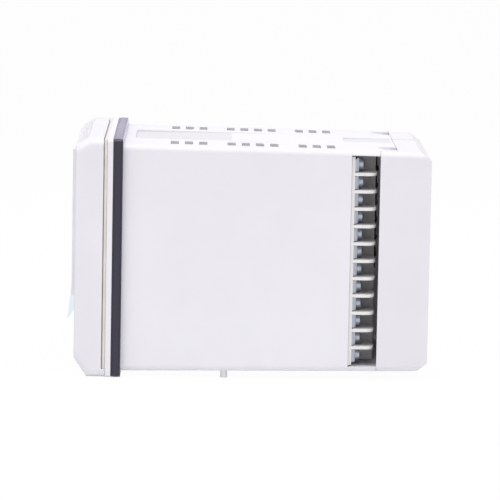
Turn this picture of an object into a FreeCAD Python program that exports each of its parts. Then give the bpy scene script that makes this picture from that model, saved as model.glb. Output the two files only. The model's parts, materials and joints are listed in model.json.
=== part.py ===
import FreeCAD, Part
import Sketcher
import math
import os
from FreeCAD import Vector

# Process controller for panel mounting, in millimetres.
# The origin is the centre of the panel cut-out, on the front surface of the panel.
# +X points to the right of a person who faces the front, +Y runs back behind the panel, +Z is up.

doc = FreeCAD.newDocument("ProcessController")
sheet = doc.addObject("Spreadsheet::Sheet", "Sizes")
nodes = []


# Driving dimensions

SIZES = {
    "bezel_width": 96.0,  # width of the front bezel
    "bezel_height": 96.0,  # height of the front bezel
    "bezel_seam": 1.6,  # seam between the bezel's rear rim and the case's flange
    "bezel_wall": 3.5,  # side walls of the bezel
    "bezel_face": 2.5,  # thickness of the bezel's front wall
    "bezel_band_wall": 1.2,  # wall between a sloping band and the rooms behind it
    "upper_slope_height": 3.0,  # height of the sloping band along the top of the face
    "lower_slope_height": 7.3,  # height of the sloping band along the bottom of the face
    "bezel_slope_depth": 5.1,  # depth of both bands
    "bezel_corner": 3.0,  # rounding of the bezel's long corners
    "bezel_edge": 0.8,  # rounding of the front's upright edges
    "grip_pitch": 2.4,  # spacing of the grip ridges on the upper band
    "grip_rise": 0.25,  # how far a grip ridge stands out
    "grip_width": 1.2,  # width of a grip ridge
    "grip_root": 0.3,  # how far a grip ridge goes into the band
    "grip_start": 0.3,  # share of the band's depth where the ridges begin
    "grip_end": 0.9,  # share of the band's depth where the ridges end
    "grip_margin": 10.0,  # plain stretch of the band at each end of the ridges

    "flange_overlap": 2.3,  # how far bezel and flange reach past the case on each side
    "case_draft": 0.0115,  # how much each side of the case comes in for each millimetre of depth
    "case_wall": 2.0,  # wall of the case
    "case_corner": 2.4,  # rounding of the case's long corners
    "flange_thickness": 2.2,  # flange of the case that clamps the gasket
    "flange_corner": 1.5,  # rounding of the flange's corners
    "gasket_thickness": 4.0,  # rubber gasket between flange and panel
    "partition_front": 86.0,  # front of the case's rear partition
    "partition_thickness": 2.0,  # rear partition of the case
    "side_overhang": 3.2,  # how far the case's side walls reach past the partition
    "groove_width": 35.4,  # broad groove on the top and bottom of the case
    "groove_start": 4.3,  # where that groove begins
    "groove_rear_gap": 17.0,  # from where that groove has run out to the partition
    "groove_depth": 0.8,  # depth of the groove at the panel
    "recess_width": 18.0,  # narrow recess across case and cover
    "recess_lead": 1.0,  # from the partition to where the narrow recess begins
    "recess_margin": 2.6,  # from the narrow recess's end to the cover's rear face
    "recess_depth": 1.55,  # depth of the narrow recess, measured as at the panel
    "vent_first": 20.3,  # middle of the first vent slot
    "vent_pitch": 5.71,  # spacing of the vent slots
    "vent_length": 12.0,  # length of a vent slot across the case
    "vent_slot": 3.3,  # width of a vent slot
    "vent_side_gap": 13.9,  # middle of a vent row from the case's side
    "vent_rear_gap": 2.0,  # least space from the middle of the last vent slot to the partition
    "rail_thickness": 1.0,  # guide ribs beside each board
    "rail_grip": 1.4,  # how far the guide ribs reach over a board's edge
    "peg_diameter": 2.8,  # small pegs below the case
    "peg_side_gap": 3.7,  # pegs from the case's side
    "peg_depth": 41.5,  # pegs behind the panel
    "pry_width": 11.0,  # pry slots that free the cover
    "pry_side_gap": 13.2,  # middle of a pry slot from the case's side
    "pry_length": 7.5,  # length of a pry slot
    "pry_floor": 2.8,  # depth of a pry slot at its rear end

    "wiring_gap": 11.5,  # open stretch between the side walls of case and cover
    "tongue_overlap": 6.8,  # how far the case's tongues reach past the cover's side edges
    "cover_depth": 13.6,  # depth of the cover behind the tongues
    "cover_wall": 2.0,  # wall of the terminal cover
    "cover_gap": 0.2,  # gap between cover and case
    "cover_slope_height": 3.5,  # height of the sloping band at the cover's rear
    "cover_slope_depth": 4.4,  # depth of that sloping band
    "tab_width": 14.0,  # tabs that hold the cover in the case
    "tab_offset": 14.0,  # tabs from the middle
    "tab_reach": 5.5,  # how far a tab goes into the case
    "tab_thickness": 1.4,  # thickness of a tab

    "cell_pitch": 7.0,  # spacing of the terminals
    "block_gap": 0.5,  # least gap between terminal blocks and the case above and below
    "block_base": 4.6,  # depth of a terminal block below its cells
    "block_side_gap": 1.5,  # outer ends of the cell barriers, from the case's side wall
    "block_width": 16.2,  # width of an outer terminal block
    "lip_reach": 1.4,  # how far an outer block's lip and barriers reach out over its base
    "lip_gap": 0.1,  # gap between that lip and the rear edge of the case's side wall
    "block_back_wall": 2.0,  # wall that closes the cells on their inner side
    "barrier_depth": 8.9,  # depth of the cells between the barriers
    "barrier_thickness": 1.2,  # thickness of a cell barrier
    "barrier_round": 4.0,  # rounding of a barrier's outer corner
    "centre_cell_count": 7,  # terminals in the inner column
    "block_spacing": 3.0,  # space between an outer and the inner terminal block
    "centre_block_width": 16.0,  # width of the inner terminal block
    "centre_rise": 1.5,  # how far the inner block stands behind the outer ones
    "screw_inset": 5.2,  # terminal screws from the outer ends of the barriers
    "centre_screw_inset": 7.5,  # the same in the inner column
    "screw_margin": 0.1,  # rim of the washer that shows round a screw's head
    "screw_head_height": 2.2,  # height of a terminal screw's head
    "screw_shank": 3.0,  # diameter of a terminal screw's shank
    "screw_tip_gap": 0.2,  # gap between the tip of a terminal screw and the partition
    "head_flats": 12,  # flats round a screw's head, in place of a round side
    "shank_flats": 6,  # flats round a shank, and round a hole for one
    "washer_gap": 0.2,  # gap between a washer and the barriers beside it
    "washer_thickness": 0.8,  # thickness of that washer
    "contact_thickness": 0.8,  # thickness of a terminal's contact plate
    "contact_gap": 0.4,  # gap between a contact plate and the barriers beside it
    "contact_length": 10.0,  # length of a terminal's contact plate
    "hole_gap": 0.1,  # gap round shanks and pins in their holes
    "pin_width": 2.0,  # width of the contact's pin to the rear board

    "board_thickness": 1.6,  # thickness of the circuit boards
    "board_opening_gap": 0.4,  # gap above and below a long board in the carrier's opening
    "socket_side_gap": 0.21,  # gap between the outer sockets and the case's side walls
    "board_front_gap": 2.3,  # gap between the long boards and the front board
    "board_plug": 3.6,  # how far a long board goes into its socket
    "board_gap": 0.3,  # running gap of the boards in rails and sockets
    "rear_board_margin": 2.7,  # gap between the rear board and the case's walls
    "socket_depth": 8.0,  # depth of the sockets on the rear board
    "socket_wall": 1.4,  # wall of a socket beside its board
    "socket_height": 58.0,  # height of the sockets on the rear board

    "frame_rise": 1.2,  # how far the window's frame stands out of the face
    "frame_inset": 3.5,  # frame from the bezel's sides
    "frame_top_inset": 4.7,  # frame from the bezel's upper edge
    "frame_bottom_inset": 32.5,  # frame from the bezel's lower edge
    "frame_side": 3.0,  # width of the frame beside the window
    "frame_band": 2.9,  # width of the frame above and below the window
    "window_thickness": 1.8,  # thickness of the display window
    "window_ledge": 2.5,  # ledge that carries the window
    "window_gap": 0.15,  # gap round the window
    "film_thickness": 0.25,  # protective film over the window
    "film_inset": 2.5,  # film from the frame's sides
    "film_top_inset": 0.5,  # film from the frame's upper edge
    "film_hang": 9.5,  # how far the film hangs below the frame
    "film_lift": 1.5,  # how far the film's lower edge has lifted
    "film_flat": 30.0,  # how far the film lies flat below its upper edge

    "key_count": 5,  # keys on the front
    "key_margin": 9.0,  # space beside the row of keys
    "key_spacing": 3.6,  # space between two keys
    "key_height": 8.4,  # height of a key
    "key_rise": 16.2,  # middle of the keys above the bezel's lower edge
    "key_recess": 0.1,  # keys behind the face
    "key_gap": 0.3,  # gap round a key
    "key_flange": 0.9,  # rim that keeps a key in its hole
    "key_flange_thickness": 0.6,  # thickness of that rim
    "key_travel": 0.8,  # travel of a key
    "key_corner": 1.2,  # rounding of a key's corners
    "key_post": 2.4,  # side of the square post behind a key
    "key_post_length": 0.4,  # length of that post

    "front_board_gap": 0.5,  # gap round the front board
    "display_gap": 0.2,  # gap between the display module and the bezel's front wall
    "boss_side": 4.4,  # square bosses that carry the front board
    "boss_inset": 2.6,  # bosses from the inside of the bezel's walls
    "board_screw": 2.2,  # diameter of the boards' small screws
    "board_screw_head": 4.0,  # diameter of their heads
    "board_screw_rise": 1.4,  # height of their heads
    "board_screw_tip_gap": 0.4,  # gap between the tip of such a screw and the bezel's face
    "switch_side": 6.0,  # side of the switches under the keys
    "switch_base": 0.5,  # height of a switch's base
    "switch_play": 0.1,  # gap that a fully pressed key leaves to its switch
    "display_overlap": 1.0,  # display module above and below the window's opening
    "carrier_thickness": 2.0,  # plate that closes the bezel's rear
    "sleeve_gap": 0.5,  # gap between the carrier's sleeve and the case's walls
    "carrier_sleeve_end": 6.0,  # rear end of that sleeve
    "sleeve_wall": 1.4,  # wall of that sleeve
    "carrier_gap": 0.3,  # gap between carrier and bezel walls
    "carrier_play": 0.5,  # gap between the carrier and the screws of the front board
    "header_depth": 2.5,  # headers between the front board and the long boards
    "header_length": 8.0,  # how far a header reaches along its long board
    "header_height": 30.0,  # height of a header
    "chip_side": 16.0,  # side of the processor
    "chip_rise": 1.6,  # height of the processor over its board
    "chip_start": 18.0,  # where the processor begins
    "converter_spacing": 22.4,  # converter behind the processor's front
    "converter_length": 10.0,  # length of the signal converter
    "converter_height": 12.0,  # width of the signal converter
    "converter_rise": 2.4,  # height of the signal converter over its board
    "relay_length": 20.0,  # length of a relay
    "relay_width": 15.0,  # width of a relay
    "relay_rise": 10.0,  # height of a relay over its board
    "relay_socket_gap": 6.4,  # relays from the main board's socket
    "relay_level": 17.0,  # relays above and below the middle
    "isolator_length": 9.0,  # length of the row of isolators
    "isolator_height": 40.0,  # height of the row of isolators
    "isolator_rise": 3.6,  # height of the isolators over their board
    "isolator_start": 40.0,  # where the isolators begin
    "core_start": 28.0,  # where the transformer's core begins
    "core_length": 32.0,  # length of the transformer's core
    "core_height": 36.0,  # height of the transformer's core
    "core_depth": 14.0,  # stack of the transformer's core
    "core_leg": 5.0,  # outer legs of the transformer's core
    "winding_gap": 0.3,  # gap between core and winding
    "can_flats": 24,  # flats round the capacitors and the fuse, in place of a round side
    "capacitor_diameter": 16.0,  # diameter of the mains capacitor
    "capacitor_length": 25.0,  # length of the mains capacitor
    "output_diameter": 10.6,  # diameter of the output capacitor
    "output_length": 20.0,  # length of the output capacitor
    "output_spacing": 24.0,  # output capacitor behind the mains capacitor
    "fuse_diameter": 5.2,  # diameter of the mains fuse
    "fuse_length": 20.0,  # length of the mains fuse
    "seal_lip": 1.0,  # outer lip of the bezel's seal
    "seal_strip": 1.2,  # width of the seal along the bottom, above the bezel's ledge
    "seal_inset": 1.6,  # how far the seal's front part stays inside the rim
    "seal_gap": 0.1,  # gap between seal and case flange
}
for row, (alias, value) in enumerate(SIZES.items(), 1):
    sheet.set("A%d" % row, alias)
    sheet.set("B%d" % row, str(value))
    sheet.setAlias("B%d" % row, alias)
doc.recompute()


# Sizes and places that follow from them, each half width, edge and level measured from the origin

DERIVED = {
    "case_width": "Sizes.bezel_width - 2 * Sizes.flange_overlap",
    "case_height": "Sizes.bezel_height - 2 * Sizes.flange_overlap",
    "key_stack": "Sizes.key_flange_thickness + Sizes.key_post_length + Sizes.key_travel",
    "front_board_depth": "key_stack + 2 * Sizes.switch_play + 2 * Sizes.switch_base",
    "front_board_stack": "front_board_depth + Sizes.board_thickness + Sizes.board_screw_rise",
    "bezel_depth": "Sizes.bezel_face + front_board_stack + Sizes.carrier_play + Sizes.carrier_thickness",
    "bezel_reach": "Sizes.gasket_thickness + Sizes.flange_thickness + Sizes.bezel_seam + bezel_depth",
    "board_screw_length": "Sizes.board_thickness + front_board_depth - Sizes.board_screw_tip_gap",
    "grip_span": "Sizes.bezel_width - 2 * Sizes.grip_margin",
    "partition_rear": "Sizes.partition_front + Sizes.partition_thickness",
    "case_side_end": "partition_rear + Sizes.side_overhang",
    "block_floor": "partition_rear + Sizes.block_base",
    "barrier_end": "block_floor + Sizes.barrier_depth",
    "cover_start": "case_side_end + Sizes.wiring_gap",
    "case_tongue_end": "cover_start + Sizes.tongue_overlap",
    "cover_end": "case_tongue_end + Sizes.cover_depth",
    "pry_start": "case_tongue_end - Sizes.pry_length",
    "groove_end": "Sizes.partition_front - Sizes.groove_rear_gap",
    "groove_floor": "case_height / 2 - Sizes.groove_depth",
    "recess_start": "partition_rear + Sizes.recess_lead",
    "recess_end": "cover_end - Sizes.recess_margin",
    "recess_floor": "case_height / 2 - Sizes.recess_depth",
    "vent_offset": "case_width / 2 - Sizes.vent_side_gap",
    "peg_offset": "case_width / 2 - Sizes.peg_side_gap",
    "pry_offset": "case_width / 2 - Sizes.pry_side_gap",
    "block_outside": "case_width / 2 - Sizes.case_wall - Sizes.block_side_gap",
    "block_inside": "block_outside - Sizes.block_width",
    "centre_outside": "block_inside - Sizes.block_spacing",
    "centre_inside": "centre_outside - Sizes.centre_block_width",
    "screw_offset": "block_outside - Sizes.screw_inset",
    "centre_screw_offset": "centre_outside - Sizes.centre_screw_inset",
    "block_room": "case_height - 2 * (Sizes.case_draft * barrier_end + Sizes.case_wall + Sizes.block_gap)",
    "cell_count": "floor(block_room / Sizes.cell_pitch)",
    "contact_stack": "Sizes.contact_thickness + Sizes.washer_thickness",
    "screw_length": "Sizes.block_base + contact_stack - Sizes.screw_tip_gap",
    "sleeve_across": "case_width / 2 - Sizes.case_wall - Sizes.sleeve_gap",
    "sleeve_up": "case_height / 2 - Sizes.case_wall - Sizes.sleeve_gap",
    "opening_across": "sleeve_across - Sizes.sleeve_wall",
    "opening_up": "sleeve_up - Sizes.sleeve_wall",
    "board_height": "2 * (opening_up - Sizes.board_opening_gap)",
    "rail_reach": "board_height / 2 - Sizes.rail_grip",
    "socket_width": "Sizes.board_thickness + 2 * (Sizes.board_gap + Sizes.socket_wall)",
    "socket_front": "Sizes.partition_front - Sizes.board_thickness - Sizes.socket_depth",
    "rear_inside": "case_width / 2 - Sizes.case_draft * Sizes.partition_front - Sizes.case_wall",
    "board_offset": "rear_inside - Sizes.socket_side_gap - socket_width / 2",
    "board_rear": "socket_front + Sizes.board_plug",
    "rear_board_across": "case_width / 2 - Sizes.case_wall - Sizes.rear_board_margin",
    "rear_board_up": "case_height / 2 - Sizes.case_wall - Sizes.rear_board_margin",
    "relay_start": "socket_front - Sizes.relay_socket_gap - Sizes.relay_length",
    "frame_half": "Sizes.bezel_width / 2 - Sizes.frame_inset",
    "frame_top": "Sizes.bezel_height / 2 - Sizes.frame_top_inset",
    "frame_bottom": "Sizes.frame_bottom_inset - Sizes.bezel_height / 2",
    "window_half": "frame_half - Sizes.frame_side",
    "window_top": "frame_top - Sizes.frame_band",
    "window_bottom": "frame_bottom + Sizes.frame_band",
    "film_half": "frame_half - Sizes.film_inset",
    "film_top": "frame_top - Sizes.film_top_inset",
    "film_bottom": "frame_bottom - Sizes.film_hang",
    "display_half": "window_half - Sizes.window_ledge",
    "display_top": "window_top - Sizes.window_ledge + Sizes.display_overlap",
    "display_bottom": "window_bottom + Sizes.window_ledge - Sizes.display_overlap",
    "key_level": "Sizes.key_rise - Sizes.bezel_height / 2",
    "power_parts": "Sizes.fuse_diameter + Sizes.core_height + Sizes.capacitor_diameter",
    "power_gap": "(board_height - power_parts) / 4",
    "fuse_level": "power_gap + Sizes.fuse_diameter / 2 - board_height / 2",
    "core_bottom": "fuse_level + Sizes.fuse_diameter / 2 + power_gap",
    "capacitor_level": "core_bottom + Sizes.core_height + power_gap + Sizes.capacitor_diameter / 2",
}
derived_sheet = doc.addObject("Spreadsheet::Sheet", "Derived")
for row, (alias, formula) in enumerate(DERIVED.items(), 1):
    derived_sheet.set("A%d" % row, alias)
    derived_sheet.set("B%d" % row, "=" + formula)
    derived_sheet.setAlias("B%d" % row, alias)
    doc.recompute()


# Helpers

def read(expression):
    return float(sheet.evalExpression(str(expression)))


def bind(thing, **sizes):
    for name, expression in sizes.items():
        thing.setExpression(name.replace("_", "."), str(expression))


def node(thing, label):
    thing.Label = label
    nodes.append(thing)
    return thing


def new_body(label):
    return node(doc.addObject("PartDesign::Body", label), label)


PLANE_NORMAL = {"XY_Plane": 1, "XZ_Plane": -1, "YZ_Plane": 1}


def new_sketch(body, plane, level):
    # The level is the plane's height along +Z, +Y or +X, whichever it faces.
    sketch = body.newObject("Sketcher::SketchObject", body.Label + "_outline")
    origin_plane = [part for part in body.Origin.OriginFeatures if part.Role == plane][0]
    sketch.AttachmentSupport = [(origin_plane, "")]
    sketch.MapMode = "FlatFace"
    sign = "" if PLANE_NORMAL[plane] > 0 else "-"
    sketch.setExpression("AttachmentOffset.Base.z", "%s(%s)" % (sign, level))
    return sketch


def add_polygon(sketch, corners):
    points = [Vector(read(u), read(v), 0) for u, v in corners]
    count = len(points)
    first = sketch.GeometryCount
    for index in range(count):
        sketch.addGeometry(Part.LineSegment(points[index], points[(index + 1) % count]), False)
    for index in range(count):
        following = first + (index + 1) % count
        sketch.addConstraint(end_to_start(first + index, following))
    for index, (u, v) in enumerate(corners):
        place_point(sketch, first + index, 1, u, v)


def end_to_start(line, following):
    return Sketcher.Constraint("Coincident", line, 2, following, 1)


def place_point(sketch, geometry, point, u, v):
    for kind, expression in (("DistanceX", u), ("DistanceY", v)):
        value = read(expression)
        number = sketch.addConstraint(Sketcher.Constraint(kind, -1, 1, geometry, point, value))
        sketch.setExpression("Constraints[%d]" % number, str(expression))


def add_rectangle(sketch, left, bottom, right, top):
    add_polygon(sketch, [(left, bottom), (right, bottom), (right, top), (left, top)])


def add_small_round(sketch, u, v, radius, flats="Sizes.shank_flats"):
    # A small peg or a screw's hole, with flats in place of a round side.
    count = int(read(flats))
    turns = ["%g deg" % (360 * index / count) for index in range(count)]
    add_polygon(sketch, [
        ("%s + (%s) * cos(%s)" % (u, radius, turn), "%s + (%s) * sin(%s)" % (v, radius, turn))
        for turn in turns])


def extrude(body, kind, sketch, length, reverse=False, middle=False):
    feature = body.newObject("PartDesign::" + kind, body.Label + "_" + kind.lower())
    feature.Profile = sketch
    feature.setExpression("Length", str(length))
    feature.Reversed = reverse
    if middle:
        feature.Midplane = True
    body.Tip = feature
    return feature


def drafted(body, kind, start, end, wall):
    # A block along +Y whose four sides come in with the case's draft, less a wall.
    feature = body.newObject("PartDesign::%sWedge" % kind, "%s_%s_wedge" % (body.Label, kind.lower()))
    feature.setExpression("Ymin", start)
    feature.setExpression("Ymax", end)
    for depth, mark in ((start, ""), (end, "2")):
        across = less(half_width(depth), wall)
        up = less(half_height(depth), wall)
        feature.setExpression("X%smin" % mark, minus(across))
        feature.setExpression("X%smax" % mark, across)
        feature.setExpression("Z%smin" % mark, minus(up))
        feature.setExpression("Z%smax" % mark, up)
    body.Tip = feature
    return feature


def round_edges(body, radius, choose):
    doc.recompute()
    base = body.Tip
    chosen = ["Edge%d" % number for number, edge in enumerate(base.Shape.Edges, 1) if choose(edge)]
    feature = body.newObject("PartDesign::Fillet", body.Label + "_fillet")
    feature.Base = (base, chosen)
    feature.setExpression("Radius", str(radius))
    body.Tip = feature
    return feature


def middle_of(edge):
    return edge.BoundBox.Center


def span(edge, axis):
    return getattr(edge.BoundBox, axis + "Length")


def repeat(body, feature, axis, length, count):
    pattern = body.newObject("PartDesign::LinearPattern", body.Label + "_pattern")
    pattern.Originals = [feature]
    line = [part for part in body.Origin.OriginFeatures if part.Role == axis][0]
    pattern.Direction = (line, [""])
    bind(pattern, Length=length, Occurrences=count)
    body.Tip = pattern
    return pattern


def block(label, low, high, register=True):
    # A box between two corners.
    thing = doc.addObject("Part::Box", label)
    if register:
        node(thing, label)
    for axis, name, start, end in zip("xyz", ("Length", "Width", "Height"), low, high):
        thing.setExpression(name, "(%s) - (%s)" % (end, start))
        thing.setExpression("Placement.Base." + axis, str(start))
    return thing


TURN = {"x": (Vector(0, 1, 0), 90), "y": (Vector(1, 0, 0), -90), "z": (Vector(0, 0, 1), 0)}


def lay(thing, start, axis):
    # Sets a round primitive at a point, to run along +X, +Y or +Z.
    turn, angle = TURN[axis]
    thing.Placement.Rotation = FreeCAD.Rotation(turn, angle)
    for name, expression in zip("xyz", start):
        thing.setExpression("Placement.Base." + name, str(expression))
    return thing


def prism(label, start, axis, radius, length, flats):
    thing = lay(doc.addObject("Part::Prism", label), start, axis)
    bind(thing, Polygon=flats, Circumradius=radius, Height=length)
    return thing


def rod(label, start, axis, radius, length):
    return node(prism(label, start, axis, radius, length, "Sizes.can_flats"), label)


def drill(start, radius, length):
    # A small hole along +Y.
    return prism("drill", start, "y", radius, length, "Sizes.shank_flats")


def fuse_all(label, things):
    thing = doc.addObject("Part::MultiFuse", label)
    thing.Shapes = things
    return thing


def cut(label, base, tool):
    thing = doc.addObject("Part::Cut", label)
    thing.Base = base
    thing.Tool = tool
    return node(thing, label)


def bar(radius, length, flats):
    # A small bar with flats in place of a round side, from the origin along Y.
    turns = [2 * math.pi * index / flats for index in range(flats)]
    corners = [Vector(radius * math.cos(turn), 0, radius * math.sin(turn)) for turn in turns]
    return Part.Face(Part.makePolygon(corners + corners[:1])).extrude(Vector(0, length, 0))


def group(label, shapes):
    # Like pieces that share a node stay separate solids.
    thing = doc.addObject("Part::Feature", label)
    thing.Shape = Part.makeCompound(shapes)
    return node(thing, label)


def moved(shape, x, y, z):
    copy = shape.copy()
    copy.translate(Vector(x, y, z))
    return copy


def mirror_x(shape):
    return shape.mirror(Vector(0, 0, 0), Vector(1, 0, 0))


# Places that several pieces share

FACE = "(0 - Derived.bezel_reach)"
BEZEL_REAR = "(Derived.bezel_depth - Derived.bezel_reach)"
BEZEL_INSIDE = "(Sizes.bezel_face - Derived.bezel_reach)"
FRAME_FACE = "(0 - Derived.bezel_reach - Sizes.frame_rise)"
FLANGE_FRONT = "(0 - Sizes.gasket_thickness - Sizes.flange_thickness)"
REAR_BOARD_FRONT = "(Sizes.partition_front - Sizes.board_thickness)"
SHANK_HOLE = "(Sizes.screw_shank / 2 + Sizes.hole_gap)"
BOARD_SCREW_HOLE = "(Sizes.board_screw / 2 + Sizes.hole_gap)"
COVER_TOP_START = "(Derived.case_tongue_end + Sizes.cover_gap)"
FAR = "(Sizes.bezel_width + Derived.cover_end)"
LIP_FRONT = "(Derived.case_side_end + Sizes.lip_gap)"
WALL = "Sizes.case_wall"


def half_width(depth):
    return "(Derived.case_width / 2 - Sizes.case_draft * (%s))" % depth


def half_height(depth):
    return "(Derived.case_height / 2 - Sizes.case_draft * (%s))" % depth


def minus(expression):
    return "(0 - (%s))" % expression


def less(whole, *parts):
    return "(%s)" % " - ".join([str(whole)] + ["(%s)" % part for part in parts])


def total(*parts):
    return "(%s)" % " + ".join("(%s)" % part for part in parts)


def add_frame_rectangle(sketch, across, up):
    add_rectangle(sketch, minus(across), minus(up), across, up)


CELL_CLEAR = less("Sizes.cell_pitch", "Sizes.barrier_thickness")
WASHER_SIDE = less(CELL_CLEAR, "2 * Sizes.washer_gap")
HEAD_RADIUS = less("%s / 2" % WASHER_SIDE, "Sizes.screw_margin")
BLOCK_TOP = "(Sizes.cell_pitch * Derived.cell_count / 2)"
BOARD_CENTRES = {
    "main_board": "Derived.board_offset",
    "option_board": "0",
    "power_board": minus("Derived.board_offset"),
}


# Case with its flange, vents, guide ribs and the walls that reach round the terminals

case = new_body("case_shell")

drafted(case, "Additive", FLANGE_FRONT, "Derived.case_tongue_end", 0)
round_edges(case, "Sizes.case_corner", lambda edge: span(edge, "Y") > read("Sizes.partition_front"))

flange_sketch = new_sketch(case, "XZ_Plane", FLANGE_FRONT)
add_frame_rectangle(flange_sketch, "Sizes.bezel_width / 2", "Sizes.bezel_height / 2")
extrude(case, "Pad", flange_sketch, "Sizes.flange_thickness", reverse=True)


def is_flange_corner(edge):
    return (abs(middle_of(edge).x) > read("(Sizes.bezel_width - Sizes.flange_overlap) / 2")
            and abs(middle_of(edge).z) > read("(Sizes.bezel_height - Sizes.flange_overlap) / 2")
            and span(edge, "Y") > read("Sizes.flange_thickness / 2"))


round_edges(case, "Sizes.flange_corner", is_flange_corner)

drafted(case, "Subtractive", FLANGE_FRONT, "Sizes.partition_front", WALL)
drafted(case, "Subtractive", "Derived.partition_rear", "Derived.case_tongue_end", WALL)

# The side walls stop short, so that the terminals can be wired from both sides.
side_opening = new_sketch(case, "YZ_Plane", "0")
opening_start = less(half_height("Derived.case_side_end"), WALL)
opening_end = less(half_height("Derived.case_tongue_end"), WALL)
add_polygon(side_opening, [
    ("Derived.case_side_end", minus(opening_start)),
    ("Derived.case_tongue_end", minus(opening_end)),
    ("Derived.case_tongue_end", opening_end),
    ("Derived.case_side_end", opening_start),
])
extrude(case, "Pocket", side_opening, FAR, middle=True)

# Room for the cover's side walls beside the tongues.
ear_inside = less(half_width("Derived.cover_start"), "Sizes.cover_wall", "Sizes.cover_gap")
ear_room = new_sketch(case, "XY_Plane", "0")
for side in (1, -1):
    add_rectangle(ear_room, "%d * %s" % (side, ear_inside), less("Derived.cover_start", "Sizes.cover_gap"),
                  "%d * Sizes.bezel_width" % side, "Derived.cover_end")
extrude(case, "Pocket", ear_room, FAR, middle=True)


def add_top_recesses(body, width, start, end, floor):
    # The same shallow recess on the top and the bottom, with a floor that ignores the draft.
    for side in (1, -1):
        sketch = new_sketch(body, "XY_Plane", "%d * (%s)" % (side, floor))
        add_rectangle(sketch, "0 - %s / 2" % width, start, "%s / 2" % width, end)
        extrude(body, "Pocket", sketch, "Sizes.case_wall * 2", reverse=side > 0)


add_top_recesses(case, "Sizes.groove_width", "Sizes.groove_start", "Derived.groove_end",
                 "Derived.groove_floor")
add_top_recesses(case, "Sizes.recess_width", "Derived.recess_start", COVER_TOP_START,
                 "Derived.recess_floor")

# Vent slots, in groups with a bar between them, through the top and the bottom.
VENT_GROUPS = ((0, 3), (4, 4), (9, 3))
vent_room = read("Sizes.partition_front - Sizes.vent_rear_gap - Sizes.vent_first")
vent_places = 1 + math.floor(vent_room / read("Sizes.vent_pitch"))
for first, full_count in VENT_GROUPS:
    count = min(full_count, vent_places - first)
    if count < 1:
        break
    vents = new_sketch(case, "XY_Plane", "0")
    start = "Sizes.vent_first + %d * Sizes.vent_pitch - Sizes.vent_slot / 2" % first
    for side in (1, -1):
        inner = "%d * (Derived.vent_offset - Sizes.vent_length / 2)" % side
        outer = "%d * (Derived.vent_offset + Sizes.vent_length / 2)" % side
        add_rectangle(vents, inner, start, outer, "%s + Sizes.vent_slot" % start)
    slots = extrude(case, "Pocket", vents, FAR, middle=True)
    if count > 1:
        repeat(case, slots, "Y_Axis", "%d * Sizes.vent_pitch" % (count - 1), "%d" % count)

# Guide ribs for the boards, rooted in the top and bottom walls.
RAIL_START = "(Sizes.carrier_sleeve_end + Sizes.board_gap)"
RAIL_END = less(REAR_BOARD_FRONT, "Sizes.board_gap")
rails = new_sketch(case, "XZ_Plane", RAIL_START)
rail_root = less(half_height(RAIL_END), "0.3 * Sizes.case_wall")
for centre in BOARD_CENTRES.values():
    for hand in (1, -1):
        near = "%s + %d * (Sizes.board_thickness / 2 + Sizes.board_gap)" % (centre, hand)
        far = "%s + %d * Sizes.rail_thickness" % (near, hand)
        for side in (1, -1):
            add_rectangle(rails, near, "%d * Derived.rail_reach" % side, far, "%d * %s" % (side, rail_root))
extrude(case, "Pad", rails, less(RAIL_END, RAIL_START), reverse=True)

# Pegs below the case, level with the bezel's lower edge.
pegs = new_sketch(case, "XY_Plane", "0 - Sizes.bezel_height / 2")
for side in (1, -1):
    add_small_round(pegs, "%d * Derived.peg_offset" % side, "Sizes.peg_depth", "Sizes.peg_diameter / 2",
                    "Sizes.head_flats")
peg_root = less(half_height("Sizes.peg_depth"), "Sizes.case_wall / 2")
extrude(case, "Pad", pegs, less("Sizes.bezel_height / 2", peg_root))

# Slots with a sloping floor, where a screwdriver frees the cover.
for side in (1, -1):
    pry = new_sketch(case, "YZ_Plane", "%d * Derived.pry_offset" % side)
    for up in (1, -1):
        floor = "%d * %s" % (up, less(half_height("Derived.case_tongue_end"), "Sizes.pry_floor"))
        surface = "%d * Derived.case_height / 2" % up
        add_polygon(pry, [
            ("Derived.pry_start", "%d * %s" % (up, half_height("Derived.pry_start"))),
            ("Derived.case_tongue_end", floor),
            ("Derived.cover_end", floor),
            ("Derived.cover_end", surface),
            ("Derived.pry_start", surface),
        ])
    extrude(case, "Pocket", pry, "Sizes.pry_width", middle=True)

# Openings in the partition for the terminals' pins, and holes for the rear board's screws, which stand
# between the terminal blocks.
PIN_INSIDE = less("Derived.screw_offset", "Sizes.contact_length / 2")
CENTRE_PIN_INSIDE = less("Derived.centre_screw_offset", "Sizes.contact_length / 2")
CENTRE_BOTTOM = less(BLOCK_TOP, "Sizes.cell_pitch * Sizes.centre_cell_count")
REAR_SCREW_ACROSS = "((Derived.centre_outside + Derived.block_inside) / 2)"
REAR_SCREW_UP = "(Derived.rear_board_up - Sizes.board_screw_head)"
partition_holes = new_sketch(case, "XZ_Plane", "Sizes.partition_front")
for hand, inside, bottom in ((1, PIN_INSIDE, minus(BLOCK_TOP)), (-1, PIN_INSIDE, minus(BLOCK_TOP)),
                             (1, CENTRE_PIN_INSIDE, CENTRE_BOTTOM)):
    near = "%d * (%s - Sizes.contact_thickness)" % (hand, inside)
    far = "%d * (%s + 2 * Sizes.contact_thickness)" % (hand, inside)
    add_rectangle(partition_holes, near, "%s + Sizes.contact_thickness" % bottom,
                  far, less(BLOCK_TOP, "Sizes.contact_thickness"))
for side in (1, -1):
    for up in (1, -1):
        add_small_round(partition_holes, "%d * %s" % (side, REAR_SCREW_ACROSS), "%d * %s" % (up, REAR_SCREW_UP),
                       BOARD_SCREW_HOLE)
extrude(case, "Pocket", partition_holes, "Sizes.partition_thickness")


# Rubber gasket between the flange and the panel

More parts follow.
